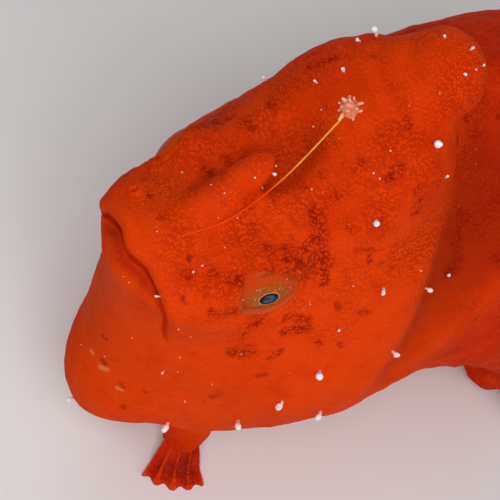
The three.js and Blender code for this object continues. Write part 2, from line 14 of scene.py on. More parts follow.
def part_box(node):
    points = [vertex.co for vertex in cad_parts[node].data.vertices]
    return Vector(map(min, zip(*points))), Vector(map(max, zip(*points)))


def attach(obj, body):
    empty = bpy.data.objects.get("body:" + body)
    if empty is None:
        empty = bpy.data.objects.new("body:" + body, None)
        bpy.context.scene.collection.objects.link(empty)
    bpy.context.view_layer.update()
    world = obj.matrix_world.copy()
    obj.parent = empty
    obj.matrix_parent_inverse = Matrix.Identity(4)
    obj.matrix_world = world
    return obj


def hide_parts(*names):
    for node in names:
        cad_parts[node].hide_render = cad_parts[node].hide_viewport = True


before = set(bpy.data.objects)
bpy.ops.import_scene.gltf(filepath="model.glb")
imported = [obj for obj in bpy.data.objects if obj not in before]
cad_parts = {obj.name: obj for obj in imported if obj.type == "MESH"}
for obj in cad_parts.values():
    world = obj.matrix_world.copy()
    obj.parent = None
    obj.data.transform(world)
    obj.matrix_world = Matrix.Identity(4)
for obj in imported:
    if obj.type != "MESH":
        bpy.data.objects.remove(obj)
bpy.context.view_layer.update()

# The forms of head and body: middle, radii and pitch in degrees, or a round cone's ends and radii.
TRUNK = ((35, 0, 32.5), (37, 18.2, 26.5), -4)
CHEEK = ((13, 0, 32), (17, 17.9, 17.5), 0)
THROAT = ((5, 0, 22.5), (12.5, 11.6, 10.5), 0)
CHIN = ((-5.5, 0, 20.8), (5.7, 5.6, 7.2), 0)
JOWL = ((2, 0, 37), (9.5, 10.5, 13), 0)
CROWN = ((9, 0, 48), (15, 9.6, 8.5), 0)
NAPE = ((15, 0, 52), (9.5, 8, 6.5), 30)
SNOUT = ((-3, 0, 47.3), (10, 9.8, 6), -15)
BROW = ((0.8, 6.8, 50), (4.6, 2.6, 4.4), 0)
JAW = ((-3.8, 0, 43.5), (-2.3, 0, 25.5), 6.2, 7.3)
PEDUNCLE = ((60, 0, 35.5), (80, 0, 37), 12.5, 8, 0.55)
TAIL_END = 83
SPINE_3 = ([(11, 1.2, 48), (17.6, 1.9, 57), (22.5, -0.7, 65.8)], [9.6, 7.3, 4.6], 1.02)
SPINE_3_ROOT = ((16.5, 5.4, 57.4), (5.8, 4.2, 5), 35)
SPINE_2 = ([(-6.5, 0, 50.6), (-2, 0, 54.6), (2.2, 0, 59)], [3.2, 2.5, 1.7], 0.85)
ARM = ([(38, 11.8, 27.5), (51.6, 18.6, 14.2), (50.2, 15.6, 4.8)], [8.4, 6, 3.8])
LEG = ([(6.4, 4.4, 12), (5.2, 5.9, 4.1)], [4.4, 2.6])
MOUTH = {"x": -13, "z": 52, "slope": 0.531, "bow": 0.0227, "bend_z": 36, "drop": 0.15, "back": (1, 1.9),
         "back_z": (38, 49), "back_y": 3, "over": 38, "corner": 64}

# Eyes, rod, lure and fins.
EYE = np.array([0.7, 7.4, 50.2])
EYE_OUT = 1.2
EYE_WIDE = 3.6
EYE_DEEP = 1.9
EYE_WAY = np.array([-0.29, 0.95, 0.08])
EYE_MOUND = (0.7, 4.4, 1.9)
EYE_DISH = {"across": 2.8, "along": 2.5, "slope": 0.45, "reach": 6.5}
PUPIL_MM = 1.02
BROW_DIP = np.array([-3.2, 7.4, 53.4])
ROD = [(-8.6, -0.8, 51.6), (-6.6, -1.8, 53.98), (-1.9, -2.6, 55.4), (3.2, -2.6, 59.7), (7.8, -2.2, 67),
       (8.5, -2.1, 68.6)]
ROD_RADII = {"thin": 0.085, "root": 0.4, "fade": 0.07, "taper": 0.04}
LURE = np.array(ROD[-1])
LURE_CORE = 0.85
LURE_LOBES = 18
DORSAL = {"rays": 12, "from": 35, "to": 75, "height": 14, "sink": 3.5, "low": 0.62, "crest": (0.12, 0.87),
          "lean": (12, 52), "wave": 0.9, "ripple": 5, "phase": 0.6}
ANAL = {"rays": 7, "from": 55, "to": 74, "height": 11, "sink": 3.5, "low": 0.6, "crest": (0.2, 0.85),
        "lean": (30, 62), "wave": 0.7, "ripple": 4, "phase": 0}
CAUDAL = {"rays": 9, "root_x": 79, "root_z": 37, "half": 6.2, "reach": 27, "spread": 33, "round": 0.13,
          "wave": 1.6, "ripple": 2.2}
HAND = {"level": 0.62, "round": 0.5, "ray": (1.5, 0.75), "web": (1.1, 0.6)}
PECTORAL = {"rays": 10, "heading": 28, "spread": 88, "length": 13, "palm": 2.8, "lift": 4.4}
PELVIC = {"rays": 5, "heading": 126, "spread": 50, "length": 6.2, "palm": 1.8, "lift": 3.8}
NOSTRIL = (-7.6, 5.4)

# The photograph's camera: degrees off the nose to the left, above and about its own axis, its distance in
# millimetres, and in pixels its focal length, the point midway between the eyes and the picture's middle.
CAMERA = {"left": 34, "above": 55, "roll": 28, "distance": 170, "focal": 1644, "eyes": (217.5, 220.5),
          "middle": 250}
SENSOR_MM = 36
PHOTO_PX = 500
PHOTO_MM = CAMERA["distance"] / CAMERA["focal"]

# Dark marks of the skin: two ends and a width in the photograph's pixels, and a strength.
MARKS = [
    (268, 247, 269, 276, 9, 1), (303, 247, 316, 239, 9, 0.9), (321, 248, 325, 283, 8, 1),
    (292, 258, 314, 264, 30, 0.8), (315, 213, 321, 240, 13, 0.9), (298, 216, 312, 224, 16, 0.35),
    (255, 228, 253, 226, 8, 0.7),
    (214, 275, 237, 281, 11, 0.8), (237, 281, 246, 288, 8, 0.8), (212, 313, 245, 308, 9, 0.85),
    (257, 324, 248, 328, 7, 0.8), (247, 329, 242, 338, 6, 0.6), (236, 352, 249, 351, 15, 0.75),
    (289, 318, 306, 320, 10, 0.8), (286, 332, 306, 329, 11, 0.8), (280, 351, 270, 358, 7, 0.8),
    (263, 318, 266, 313, 5, 0.7), (258, 376, 264, 374, 6, 0.6), (213, 397, 219, 393, 7, 0.6),
    (337, 304, 339, 308, 6, 0.9), (361, 311, 367, 313, 7, 0.6), (339, 344, 340, 346, 5, 0.7),
    (318, 342, 319, 344, 5, 0.8), (184, 299, 185, 302, 6, 0.8), (201, 294, 203, 296, 5, 0.8),
    (189, 256, 190, 259, 5, 0.9), (301, 186, 304, 189, 6, 0.8), (272, 196, 275, 199, 6, 0.7),
    (320, 174, 323, 177, 7, 0.7), (333, 191, 336, 195, 8, 0.7), (360, 160, 363, 164, 7, 0.8),
    (389, 180, 400, 168, 9, 0.9), (420, 190, 416, 212, 10, 0.7), (381, 219, 383, 223, 6, 0.6),
    (358, 250, 380, 250, 6, 0.6), (368, 250, 370, 262, 5, 0.6), (405, 122, 409, 128, 9, 0.8),
    (306, 141, 310, 146, 8, 0.5), (312, 212, 316, 216, 9, 0.7), (206, 172, 211, 176, 11, 0.8),
    (223, 156, 229, 162, 9, 0.7), (244, 121, 250, 128, 12, 0.8), (270, 102, 275, 107, 10, 0.7),
    (311, 66, 322, 64, 9, 0.8), (330, 60, 338, 58, 8, 0.8), (371, 54, 376, 56, 7, 0.6),
    (149, 194, 151, 197, 6, 0.9), (159, 212, 164, 216, 12, 0.55), (102, 335, 105, 338, 5, 0.8),
    (103, 361, 105, 364, 6, 0.8), (120, 384, 122, 387, 5, 0.5), (145, 390, 147, 392, 5, 0.7),
    (122, 406, 124, 408, 5, 0.5), (195, 353, 197, 355, 5, 0.6), (250, 205, 254, 214, 8, 0.45),
    (275, 130, 283, 140, 16, 0.4), (235, 146, 243, 152, 14, 0.35), (343, 160, 350, 168, 10, 0.35),
    (381, 264, 392, 268, 8, 0.4), (348, 224, 356, 232, 9, 0.4), (330, 130, 336, 140, 8, 0.35),
]
# How many marks there are with the random ones, and how much of its width a mark keeps.
ALL_MARKS = 190
MARK_SPREAD = 0.62
# Pale worn patches on the jaw: two ends and a width in pixels.
PALE_MARKS = [(100, 367, 107, 369, 4), (117, 388, 122, 390, 3), (91, 351, 93, 353, 3)]

# Pale skin tags the photograph shows: pixel and size in millimetres.
TAGS = [
    (68, 402, 1.0), (168, 422, 1.5), (238, 420, 1.4), (282, 401, 1.3), (320, 411, 1.4), (319, 371, 1.5),
    (392, 351, 1.3), (339, 329, 0.7), (383, 288, 1.1), (425, 288, 1.0), (447, 275, 0.8), (420, 270, 0.5),
    (376, 220, 1.5), (435, 145, 1.5), (445, 177, 0.8), (391, 151, 0.5), (374, 173, 0.5), (380, 179, 0.4),
    (267, 73, 0.9), (317, 83, 0.7), (344, 72, 0.9), (360, 42, 0.9), (380, 30, 1.2), (445, 38, 0.8),
    (470, 50, 0.8), (482, 66, 0.6), (465, 75, 0.8), (475, 70, 0.5), (276, 167, 0.6), (272, 173, 0.8),
    (255, 177, 0.5), (263, 190, 0.5), (314, 126, 0.4), (322, 110, 0.4), (340, 104, 0.5), (440, 92, 0.4),
    (312, 190, 0.4), (164, 371, 0.6), (180, 356, 0.4), (213, 383, 0.4), (185, 400, 0.4), (160, 296, 0.7),
    (193, 273, 0.5), (201, 266, 0.5), (242, 353, 0.4), (183, 173, 0.5), (225, 193, 0.4), (157, 232, 0.4),
    (237, 217, 0.4), (310, 303, 0.4), (353, 285, 0.4), (257, 290, 0.28), (260, 290, 0.28), (244, 299, 0.3),
    (255, 299, 0.25), (287, 278, 0.3), (290, 287, 0.22), (276, 290, 0.2), (235, 268, 0.25),
    (124, 276, 0.3), (130, 282, 0.3), (133, 337, 0.3), (212, 185, 0.3), (218, 217, 0.3), (225, 248, 0.3),
    (179, 328, 0.35), (191, 336, 0.3), (178, 371, 0.3), (106, 356, 0.3), (82, 345, 0.3), (300, 272, 0.25),
]
# The scale of small tags and large ones, and the way that water bends them.
TAG_SCALE = 0.9
BIG_TAG_SCALE = 1.05
TAG_SWAY = np.array([-0.5, 0, 0.35])
# The random tags out of the photograph's sight: their number, sizes and least distance.
OTHER_TAGS = 110
OTHER_TAG_SIZES = [0.4, 0.5, 0.7, 0.9, 1.2]
TAG_GAP = 2.6
SEED = 7

GRID_MM = 0.46
SKIN_BOX = np.array([(-19, -27, -2), (87, 27, 74)], float)
FLESH_NODES = ["head", "lower_jaw", "torso", "tail_peduncle", "dorsal_spine_2", "dorsal_spine_3",
               "pectoral_arm_left", "pectoral_arm_right"]

low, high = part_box("eye_left")
SHIFT = np.array((low + high) / 2) * 1000 - EYE * (1, -1, 1)


def to_row(points):
    return (np.asarray(points) + SHIFT) * 0.001


def mix(a, b, t):
    return a + (b - a) * t


def smooth(edge0, edge1, x):
    t = np.clip((x - edge0) / (edge1 - edge0), 0, 1)
    return t * t * (3 - 2 * t)


def hump(x, middle, width):
    return np.exp(-(((x - middle) / width) ** 2))


def length(v):
    return np.linalg.norm(v, axis=-1)


def unit(v):
    return v / np.linalg.norm(v, axis=-1, keepdims=True)


def mirrored(p):
    """Points with those of the left half moved to the right."""
    return np.column_stack([p[:, 0], np.abs(p[:, 1]), p[:, 2]])


def two_triangles(a, b, c, d):
    """Quads, given by the numbers of their corners, as two triangles each."""
    return np.stack([a, b, c, a, c, d], -1).reshape(-1, 3)


def ray_tree(points, triangles):
    return BVHTree.FromPolygons([Vector(p) for p in points], triangles.tolist())


def catmull(points, count):
    """Evenly spaced parameters along a smooth curve through the points."""
    points = np.asarray(points, float)
    ends = np.vstack([2 * points[0] - points[1], points, 2 * points[-1] - points[-2]])
    t = np.linspace(0, len(points) - 1, count)
    i = np.minimum(t.astype(int), len(points) - 2)
    u = (t - i)[:, None]
    a, b, c, d = ends[i], ends[i + 1], ends[i + 2], ends[i + 3]
    return 0.5 * (2 * b + (c - a) * u + (2 * a - 5 * b + 4 * c - d) * u**2 + (3 * b - a - 3 * c + d) * u**3)


# Distance-like fields of the forms, negative inside.
def ellipsoid(p, form):
    middle, (a, b, c), pitch = form
    turn = math.radians(pitch)
    q = p - np.array(middle, float)
    u = q[:, 0] * math.cos(turn) + q[:, 2] * math.sin(turn)
    w = -q[:, 0] * math.sin(turn) + q[:, 2] * math.cos(turn)
    v = q[:, 1]
    near = np.sqrt((u / a) ** 2 + (v / b) ** 2 + (w / c) ** 2)
    slope = np.sqrt((u / a**2) ** 2 + (v / b**2) ** 2 + (w / c**2) ** 2)
    return near * (near - 1) / np.maximum(slope, 1e-9)


def round_cone(p, start, end, r0, r1, flat=1.0):
    start = np.array(start, float)
    axis = np.array(end, float) - start
    t = np.clip((p - start) @ axis / (axis @ axis), 0, 1)
    q = p - start - t[:, None] * axis
    away = np.sqrt(q[:, 0] ** 2 + (q[:, 1] / flat) ** 2 + q[:, 2] ** 2)
    return (away - mix(r0, r1, t)) * flat


def blend(a, b, width):
    h = np.maximum(width - np.abs(a - b), 0) / width
    return np.minimum(a, b) - h * h * width / 4


def carve(a, b, width):
    return -blend(-a, b, width)


def chain(p, path, radii, count, flat=1.0):
    """A swept limb: round cones along a smooth path."""
    points = catmull(path, count)
    widths = catmull(np.column_stack([radii, radii, radii]), count)[:, 0]
    d = round_cone(p, points[0], points[1], widths[0], widths[1], flat)
    for i in range(1, count - 1):
        d = np.minimum(d, round_cone(p, points[i], points[i + 1], widths[i], widths[i + 1], flat))
    return d


def flesh(p):
    """Head and body without spines and limbs."""
    m = mirrored(p)
    d = blend(ellipsoid(p, TRUNK), ellipsoid(p, CHEEK), 8)
    for form, width in ((THROAT, 6), (CROWN, 8), (NAPE, 6), (JOWL, 6), (SNOUT, 4)):
        d = blend(d, ellipsoid(p, form), width)
    d = blend(d, round_cone(p, *JAW), 4)
    d = blend(d, ellipsoid(p, CHIN), 4)
    d = blend(d, ellipsoid(m, BROW), 2.5)
    return blend(d, round_cone(p, *PEDUNCLE), 12)


def ridge_z(x, way):
    """Height of the back (way 1) or belly (way -1) on the midline."""
    inner = np.full(len(x), 34.0)
    outer = inner + way * 40
    for _ in range(24):
        middle = (inner + outer) / 2
        inside = flesh(np.column_stack([x, 0 * x, middle])) < 0
        inner = np.where(inside, middle, inner)
        outer = np.where(inside, outer, middle)
    return inner


def fin_base(form, way):
    x = np.linspace(form["from"], form["to"] - 1, 9)
    return np.column_stack([x, 0 * x, ridge_z(x, way) - way * 0.6])


DORSAL_BASE = fin_base(DORSAL, 1)
ANAL_BASE = fin_base(ANAL, -1)
SHOULDER_CREASE = ([(30, 4.5, 60), (28.4, 9.4, 57), (26.6, 13.8, 52), (25, 17, 46), (22.6, 19.3, 40.5),
                    (19.4, 20.4, 35), (17.4, 20.6, 29)], [1.4, 3.2, 4.3, 4.5, 4.0, 3.0, 1.5])
NAPE_HOLLOW = ((6.1, 1.3, 57.2), (4.3, 3.1, 2.4), 40)
GILL_PORE = np.array([57, 12.6, 18])
EYE_AXIS = unit(EYE_WAY)


def eye_place(m):
    """How far out along the eye's axis points of the mirrored half are, and how far from it."""
    q = m - EYE
    along = q @ EYE_AXIS
    return along, np.sqrt(np.maximum((q * q).sum(1) - along**2, 0))


def eye_mound(along, around):
    out, wide, deep = EYE_MOUND
    near = np.hypot(around / wide, (along - out) / deep)
    slope = np.hypot(around / wide**2, (along - out) / deep**2)
    return near * (near - 1) / np.maximum(slope, 1e-9)


def skin_field(p):
    """The whole skin: flesh, spines, limbs, the swellings at fin roots and the larger hollows."""
    m = mirrored(p)
    d = flesh(p)
    d = carve(d, chain(m, *SHOULDER_CREASE, 13), 3.5)
    d = blend(d, chain(p, *SPINE_3[:2], 7, SPINE_3[2]), 4.5)
    d = blend(d, ellipsoid(m, SPINE_3_ROOT), 4)
    d = carve(d, ellipsoid(p, NAPE_HOLLOW), 3)
    d = blend(d, chain(p, *SPINE_2[:2], 6, SPINE_2[2]), 2)
    d = blend(d, chain(m, *ARM, 10), 5)
    d = blend(d, chain(m, *LEG, 4), 3)
    for base, width in ((DORSAL_BASE, 1.5), (ANAL_BASE, 1.3)):
        d = blend(d, chain(p, base, [width] * len(base), len(base)), 3)
    d = blend(d, round_cone(p, (80, 0, 31), (80, 0, 43), 2.2, 2.2), 4)
    d = carve(d, TAIL_END - p[:, 0], 3)
    along, around = eye_place(m)
    d = blend(d, eye_mound(along, around), 1.2)
    dish = EYE_DISH["along"] + EYE_DISH["slope"] * (around - EYE_DISH["across"]) - along
    return carve(d, np.maximum(dish, around - EYE_DISH["reach"]), 0.5)


def sampled(field, start, counts, step, block=4):
    """The field on a lattice: exact near its zero, one value a block elsewhere."""
    blocks = -(-np.array(counts) // block)
    corner = start + np.indices(blocks).reshape(3, -1).T * (block * step)
    coarse = field(corner + (block - 1) / 2 * step)
    near = np.abs(coarse) < block * step * 1.6
    values = np.repeat(coarse[:, None], block**3, 1)
    offsets = np.indices((block,) * 3).reshape(3, -1).T * step
    chosen = np.flatnonzero(near)
    for part in np.array_split(chosen, max(1, len(chosen) // 4000)):
        points = (corner[part][:, None] + offsets[None]).reshape(-1, 3)
        values[part] = field(points).reshape(len(part), -1)
    values = values.reshape(*blocks, block, block, block).transpose(0, 3, 1, 4, 2, 5)
    return values.reshape(blocks * block)


def surface_net(values, start, step):
    """Points and triangles of the zero level of a lattice of values."""
    inside = values < 0
    size = np.array(values.shape) - 1
    corners = np.array([(i, j, k) for i in (0, 1) for j in (0, 1) for k in (0, 1)])
    full = sum(inside[i:size[0] + i, j:size[1] + j, k:size[2] + k].astype(np.int8) for i, j, k in corners)
    active = (full > 0) & (full < 8)
    cells = np.argwhere(active)
    index = np.full(active.shape, -1, np.int64)
    index[active] = np.arange(len(cells))
    at = cells[:, None] + corners[None]
    ends = values[at[..., 0], at[..., 1], at[..., 2]]
    total = np.zeros((len(cells), 3))
    count = np.zeros(len(cells))
    for a in range(8):
        for b in range(a + 1, 8):
            if np.abs(corners[a] - corners[b]).sum() != 1:
                continue
            crossed = (ends[:, a] < 0) != (ends[:, b] < 0)
            t = np.where(crossed, ends[:, a] / np.where(crossed, ends[:, a] - ends[:, b], 1), 0)
            total += (corners[a] + t[:, None] * (corners[b] - corners[a])) * crossed[:, None]
            count += crossed
    points = start + (cells + total / count[:, None]) * step
    quads = []
    for axis in range(3):
        low_in = np.delete(inside, -1, axis)
        edge = np.argwhere(low_in != np.delete(inside, 0, axis))
        u, w = np.roll(np.eye(3, dtype=int), -1 - axis, 0)[:2]
        quad = np.column_stack([index[tuple((edge - shift).T)] for shift in (0 * u, u, u + w, w)])
        flip = ~low_in[tuple(edge.T)]
        quad[flip] = quad[flip][:, ::-1]
        quads.append(quad)
    quads = np.vstack(quads)
    return points, np.vstack([quads[:, [0, 1, 2]], quads[:, [0, 2, 3]]])


def gradient(field, p, reach=0.06):
    steps = reach * np.eye(3)
    return np.column_stack([(field(p + step) - field(p - step)) / (2 * reach) for step in steps])


def settled(field, p, rounds):
    """Points moved onto the field's zero level."""
    for _ in range(rounds):
        slope = gradient(field, p)
        p = p - slope * (field(p) / np.maximum((slope * slope).sum(1), 0.05))[:, None]
    return p


def refined(points, triangles, chosen):
    """Each chosen triangle in four, and its neighbours split so that no crack opens."""
    count = len(points)
    edges = np.sort(np.stack([triangles, np.roll(triangles, -1, 1)], 2), 2)
    keys, inverse = np.unique(edges[..., 0] * count + edges[..., 1], return_inverse=True)
    inverse = inverse.reshape(-1, 3)
    split = np.zeros(len(keys), bool)
    split[inverse[chosen]] = True
    middle = np.full(len(keys), -1)
    middle[split] = count + np.arange(split.sum())
    new = (points[keys[split] // count] + points[keys[split] % count]) / 2
    mids = middle[inverse]
    kind = (mids >= 0) @ np.array([1, 2, 4])
    out = [triangles[kind == 0]]
    for code, turn, pattern in (
        (1, 0, "0a2 a12"), (2, 1, "0a2 a12"), (4, 2, "0a2 a12"),
        (3, 0, "a1b 0ab 0b2"), (6, 1, "a1b 0ab 0b2"), (5, 2, "a1b 0ab 0b2"), (7, 0, "0ac a1b cb2 abc"),
    ):
        rows = kind == code
        v = np.roll(triangles[rows], -turn, 1)
        e = np.roll(mids[rows], -turn, 1)
        lookup = {"0": v[:, 0], "1": v[:, 1], "2": v[:, 2], "a": e[:, 0], "b": e[:, 1], "c": e[:, 2]}
        out += [np.column_stack([lookup[letter] for letter in corner]) for corner in pattern.split()]
    return np.vstack([points, new]), np.vstack(out)


# The photograph's view.
def camera_axes():
    left, above, roll = (math.radians(CAMERA[key]) for key in ("left", "above", "roll"))
    back = np.array([-math.cos(left) * math.cos(above), -math.sin(left) * math.cos(above), math.sin(above)])
    level = np.array([-back[1], back[0], 0]) / math.hypot(back[0], back[1])
    right = level * math.cos(roll) + np.cross(back, level) * math.sin(roll)
    up = np.cross(back, right)
    target = np.array([0, 0, 50.0]) + right * (CAMERA["middle"] - CAMERA["eyes"][0]) * PHOTO_MM
    target = target + up * (CAMERA["eyes"][1] - CAMERA["middle"]) * PHOTO_MM
    return right, up, back, target + back * CAMERA["distance"]


RIGHT, UP, BACK, VIEWPOINT = camera_axes()


def sight_line(x, y):
    way = RIGHT * (x - CAMERA["middle"]) + UP * (CAMERA["middle"] - y) - BACK * CAMERA["focal"]
    return unit(way)


def seen(tree, x, y):
    """The skin's point and normal at a pixel, looking a little further in where the pixel misses it."""
    for inward in np.linspace(0, 0.12, 9):
        px = mix(x, CAMERA["middle"], inward)
        py = mix(y, CAMERA["middle"], inward)
        hit, normal, _, _ = tree.ray_cast(Vector(VIEWPOINT), Vector(sight_line(px, py)))
        if hit is not None:
            return np.array(hit), np.array(normal)
    return None, None


# The mouth's sheet, and the finer relief that moves the skin along its normal.
def mouth_x(y, z):
    above = MOUTH["x"] - MOUTH["slope"] * (np.maximum(z, MOUTH["bend_z"]) - MOUTH["z"])
    below = MOUTH["drop"] * np.maximum(MOUTH["bend_z"] - z, 0)
    back = mix(*MOUTH["back"], smooth(0, MOUTH["back_y"], np.abs(y))) * smooth(*MOUTH["back_z"], z)
    return above + below - MOUTH["bow"] * y * y + back


def mouth_place(p):
    """How far points are behind the mouth's sheet, at what angle round it, and 1 in the gape, 0 past it."""
    behind = (p[:, 0] - mouth_x(p[:, 1], p[:, 2])) * 0.88
    angle = np.degrees(np.arctan2(np.abs(p[:, 1]), p[:, 2] - MOUTH["over"]))
    open_part = 1 - smooth(MOUTH["corner"] - 4, MOUTH["corner"] + 14, angle)
    return behind, angle, open_part


def waves(p, scale, seed, octaves=2):
    """Smooth seeded noise between about -1 and 1, from sums of sines."""
    rng = np.random.default_rng(seed)
    total = np.zeros(len(p))
    for octave in range(octaves):
        for _ in range(7):
            way = unit(rng.normal(size=3)) * 2 * math.pi / (scale / 2**octave) * rng.uniform(0.7, 1.3)
            total += np.sin(p @ way + rng.uniform(0, 6.3)) / 2**octave
    return total / 4


def relief(p, on_skin):
    """Height of lips, mouth line, nostrils, eye folds and wrinkles over the smooth skin, in millimetres."""
    m = mirrored(p)
    behind, angle, part = mouth_place(p)
    front = 1 - smooth(16, 30, angle)
    narrow = smooth(20, 34, angle)
    h = part * (mix(0.55, 0.25, narrow) * hump(behind, 1.0, 0.75) + 0.15 * hump(behind, -1.5, 0.8))
    h -= 0.7 * hump(behind, -1.2, 2.2) * hump(np.abs(p[:, 1]), 4, 3) * smooth(41, 46, p[:, 2])
    h -= part * mix(1.4, 0.6, narrow) * hump(behind, -0.1, mix(0.28, 0.18, narrow))
    h -= part * mix(0.05, 0.7, front) * hump(behind, -0.75, 0.6)
    reach = length(m - on_skin["nostril"])
    h += 0.4 * hump(reach, 0.5, 0.22) - 0.5 * hump(reach, 0, 0.26)
    along, around = eye_place(m)
    h += (0.12 * hump(around, 3.15, 0.2) - 0.1 * hump(around, 3.6, 0.16)) * smooth(0, 1, along)
    fold = hump(around, 4.7, 0.8) * hump(along, 1.6, 2.5)
    h += 0.1 * np.sin(around * 5.2 + 0.8 * waves(p, 5, 3)) * fold
    h -= 0.8 * hump(length(m - BROW_DIP), 0, 2.4)
    pore = length(m - on_skin["pore"])
    h += 0.5 * hump(pore, 1.25, 0.5) - 1.4 * hump(pore, 0, 0.75)
    back = smooth(-4, 30, p[:, 0])
    h += 0.10 * waves(p, 7, 11) + 0.035 * waves(p, 1.9, 12, 3) + 0.08 * back * waves(p, 3.4, 13)
    belly = smooth(24, 12, p[:, 2]) * smooth(2, 12, p[:, 0])
    h += 0.12 * belly * np.sin(p[:, 0] * 1.1 + 0.9 * waves(p, 11, 17))
    limbs = np.minimum(chain(m, *ARM, 6), chain(m, *LEG, 3))
    creases = 1 - smooth(0.5, 2.5, limbs)
    return h + 0.1 * creases * waves(p, 2.6, 19)


def first_hit(start, way):
    """Where the skin's field is left going out from a point inside."""
    t = np.linspace(0, 40, 4001)
    line = np.array(start, float) + t[:, None] * np.array(way, float)
    return line[np.flatnonzero(skin_field(line) < 0)[-1]]


def build_skin():
    start = SKIN_BOX[0]
    counts = np.ceil((SKIN_BOX[1] - start) / GRID_MM).astype(int)
    points, triangles = surface_net(sampled(skin_field, start, counts, GRID_MM), start, GRID_MM)
    points = settled(skin_field, points, 2)
    on_skin = {
        "nostril": first_hit((NOSTRIL[0], NOSTRIL[1], 40), (0, 0, 1)),
        "pore": first_hit((GILL_PORE[0], 0, GILL_PORE[2]), (0, 1, 0)),
    }
    for level in range(2):
        middle = points[triangles].mean(1)
        m = mirrored(middle)
        behind, _, part = mouth_place(middle)
        near = (part > 0.02) & (np.abs(behind + 0.3) < 2.6)
        for place, reach in ((on_skin["nostril"], 2), (EYE, 6.5), (on_skin["pore"], 3)):
            near |= length(m - place) < reach
        if level == 0:
            near |= middle[:, 0] < 27
        old = len(points)
        points, triangles = refined(points, triangles, near)
        points[old:] = settled(skin_field, points[old:], 1)
    normals = unit(gradient(skin_field, points))
    return points + normals * relief(points, on_skin)[:, None], triangles


# Meshes and objects.
def make_object(name, points, faces, smooth_faces=True):
    mesh = bpy.data.meshes.new(name)
    faces = np.asarray(faces)
    mesh.vertices.add(len(points))
    mesh.vertices.foreach_set("co", to_row(points).astype(np.float32).ravel())
    mesh.loops.add(faces.size)
    mesh.loops.foreach_set("vertex_index", faces.astype(np.int32).ravel())
    mesh.polygons.add(len(faces))
    mesh.polygons.foreach_set("loop_start", np.arange(0, faces.size, faces.shape[1], dtype=np.int32))
    mesh.polygons.foreach_set("use_smooth", np.full(len(faces), smooth_faces))
    mesh.update(calc_edges=True)
    mesh.validate()
    piece = bpy.data.objects.new(name, mesh)
    bpy.context.scene.collection.objects.link(piece)
    return piece


def paint(piece, name, values):
    """A number for each point, for the material to read."""
    layer = piece.data.attributes.new(name, "FLOAT", "POINT")
    layer.data.foreach_set("value", np.asarray(values, np.float32))


def segment_reach(p, a, b):
    axis = b - a
    t = np.clip((p - a) @ axis / max(axis @ axis, 1e-9), 0, 1)
    return length(p - a - t[:, None] * axis)


def spread_marks(p, tree):
    """How dark the marks make each point: the photograph's, those mirrored to the right, and random ones."""
    rng = np.random.default_rng(SEED)
    marks = []
    for x0, y0, x1, y1, width, strength in MARKS:
        a, _ = seen(tree, x0, y0)
        b, _ = seen(tree, x1, y1)
        width *= PHOTO_MM * MARK_SPREAD
        marks.append((a, b, width, strength))
        if a[1] < -7:
            jitter = rng.normal(0, 0.7, 3)
            marks.append((a * (1, -1, 1) + jitter, b * (1, -1, 1) + jitter, width, strength))
    while len(marks) < ALL_MARKS:
        x = rng.uniform(24, 84)
        angle = rng.uniform(-2.5, 2.5)
        way = np.array([0, math.sin(angle), math.cos(angle)])
        hit, _, _, _ = tree.ray_cast(Vector((x, 0, 34)), Vector(way))
        if hit is None:
            continue
        a = np.array(hit)
        b = a + rng.normal(0, 1.1, 3)
        marks.append((a, b, rng.uniform(0.4, 1.25), rng.uniform(0.4, 1)))
    dark = np.zeros(len(p))
    for a, b, width, strength in marks:
        near = np.flatnonzero(np.abs(p - (a + b) / 2).max(1) < np.abs(a - b).max() / 2 + 2.2 * width)
        reach = segment_reach(p[near], a, b)
        dark[near] = np.maximum(dark[near], strength * (1 - smooth(0.3 * width, 1.9 * width, reach)))
    return dark


def tone_skin(piece, p, tree):
    m = mirrored(p)
    paint(piece, "marks", spread_marks(p, tree))
    pale = np.zeros(len(p))
    for x0, y0, x1, y1, width in PALE_MARKS:
        reach = segment_reach(p, seen(tree, x0, y0)[0], seen(tree, x1, y1)[0])
        pale = np.maximum(pale, 1 - smooth(0.3 * width * PHOTO_MM, 1.2 * width * PHOTO_MM, reach))
    paint(piece, "pale", pale)
    # Deeper red over the crown, the body behind the head and the belly: partly the skin's own tone, partly
    # painted shade where the light falls off over the body and under the belly.
    deep = 0.3 * smooth(45, 60, p[:, 2])
    deep = np.maximum(deep, 0.9 * smooth(20, 36, p[:, 0]))
    deep = np.maximum(deep, 0.6 * smooth(14, 6, p[:, 2]))
    paint(piece, "deep", np.clip(deep + 0.12 * waves(p, 14, 23), 0, 1))
    # Painted shade: darker red in the shoulder crease and in the hollow behind the second spine.
    crease_shade = 1 - smooth(-1.5, 3, chain(m, *SHOULDER_CREASE, 13))
    crease_shade *= mix(0.55, 1, smooth(34, 44, p[:, 2]))
    hollow_shade = 0.5 - 0.5 * smooth(-1.2, 1.1, ellipsoid(p, NAPE_HOLLOW))
    paint(piece, "fold", np.maximum(crease_shade, hollow_shade))
    grain = smooth(38, 52, p[:, 2]) * smooth(-13, -5, p[:, 0])
    paint(piece, "grain", np.maximum(grain, 0.6 * smooth(18, 30, p[:, 0])))
    # The gape's dark red: partly the inner lip's own colour, partly painted shade under the overhanging
    # upper lip.
    behind, angle, part = mouth_place(p)
    front = 1 - smooth(14, 27, angle)
    gape = part * mix(0.5 * hump(behind, -0.1, 0.22), 0.55 * hump(behind, -0.6, 0.8), front)
    paint(piece, "gape", np.clip(gape, 0, 1))
    along, around = eye_place(m)
    paint(piece, "eyeshade", np.where(along > 0, 1 - smooth(2.9, 3.8, around), 0))
    # A pink line under the eye: partly the lower lid's fold, partly a painted highlight along the eye's
    # lower rim.
    paint(piece, "lid_and_highlight", hump(around, 3.05, 0.18) * smooth(0, 1, along) * smooth(0.3, -1.2, p[:, 2] - EYE[2]))


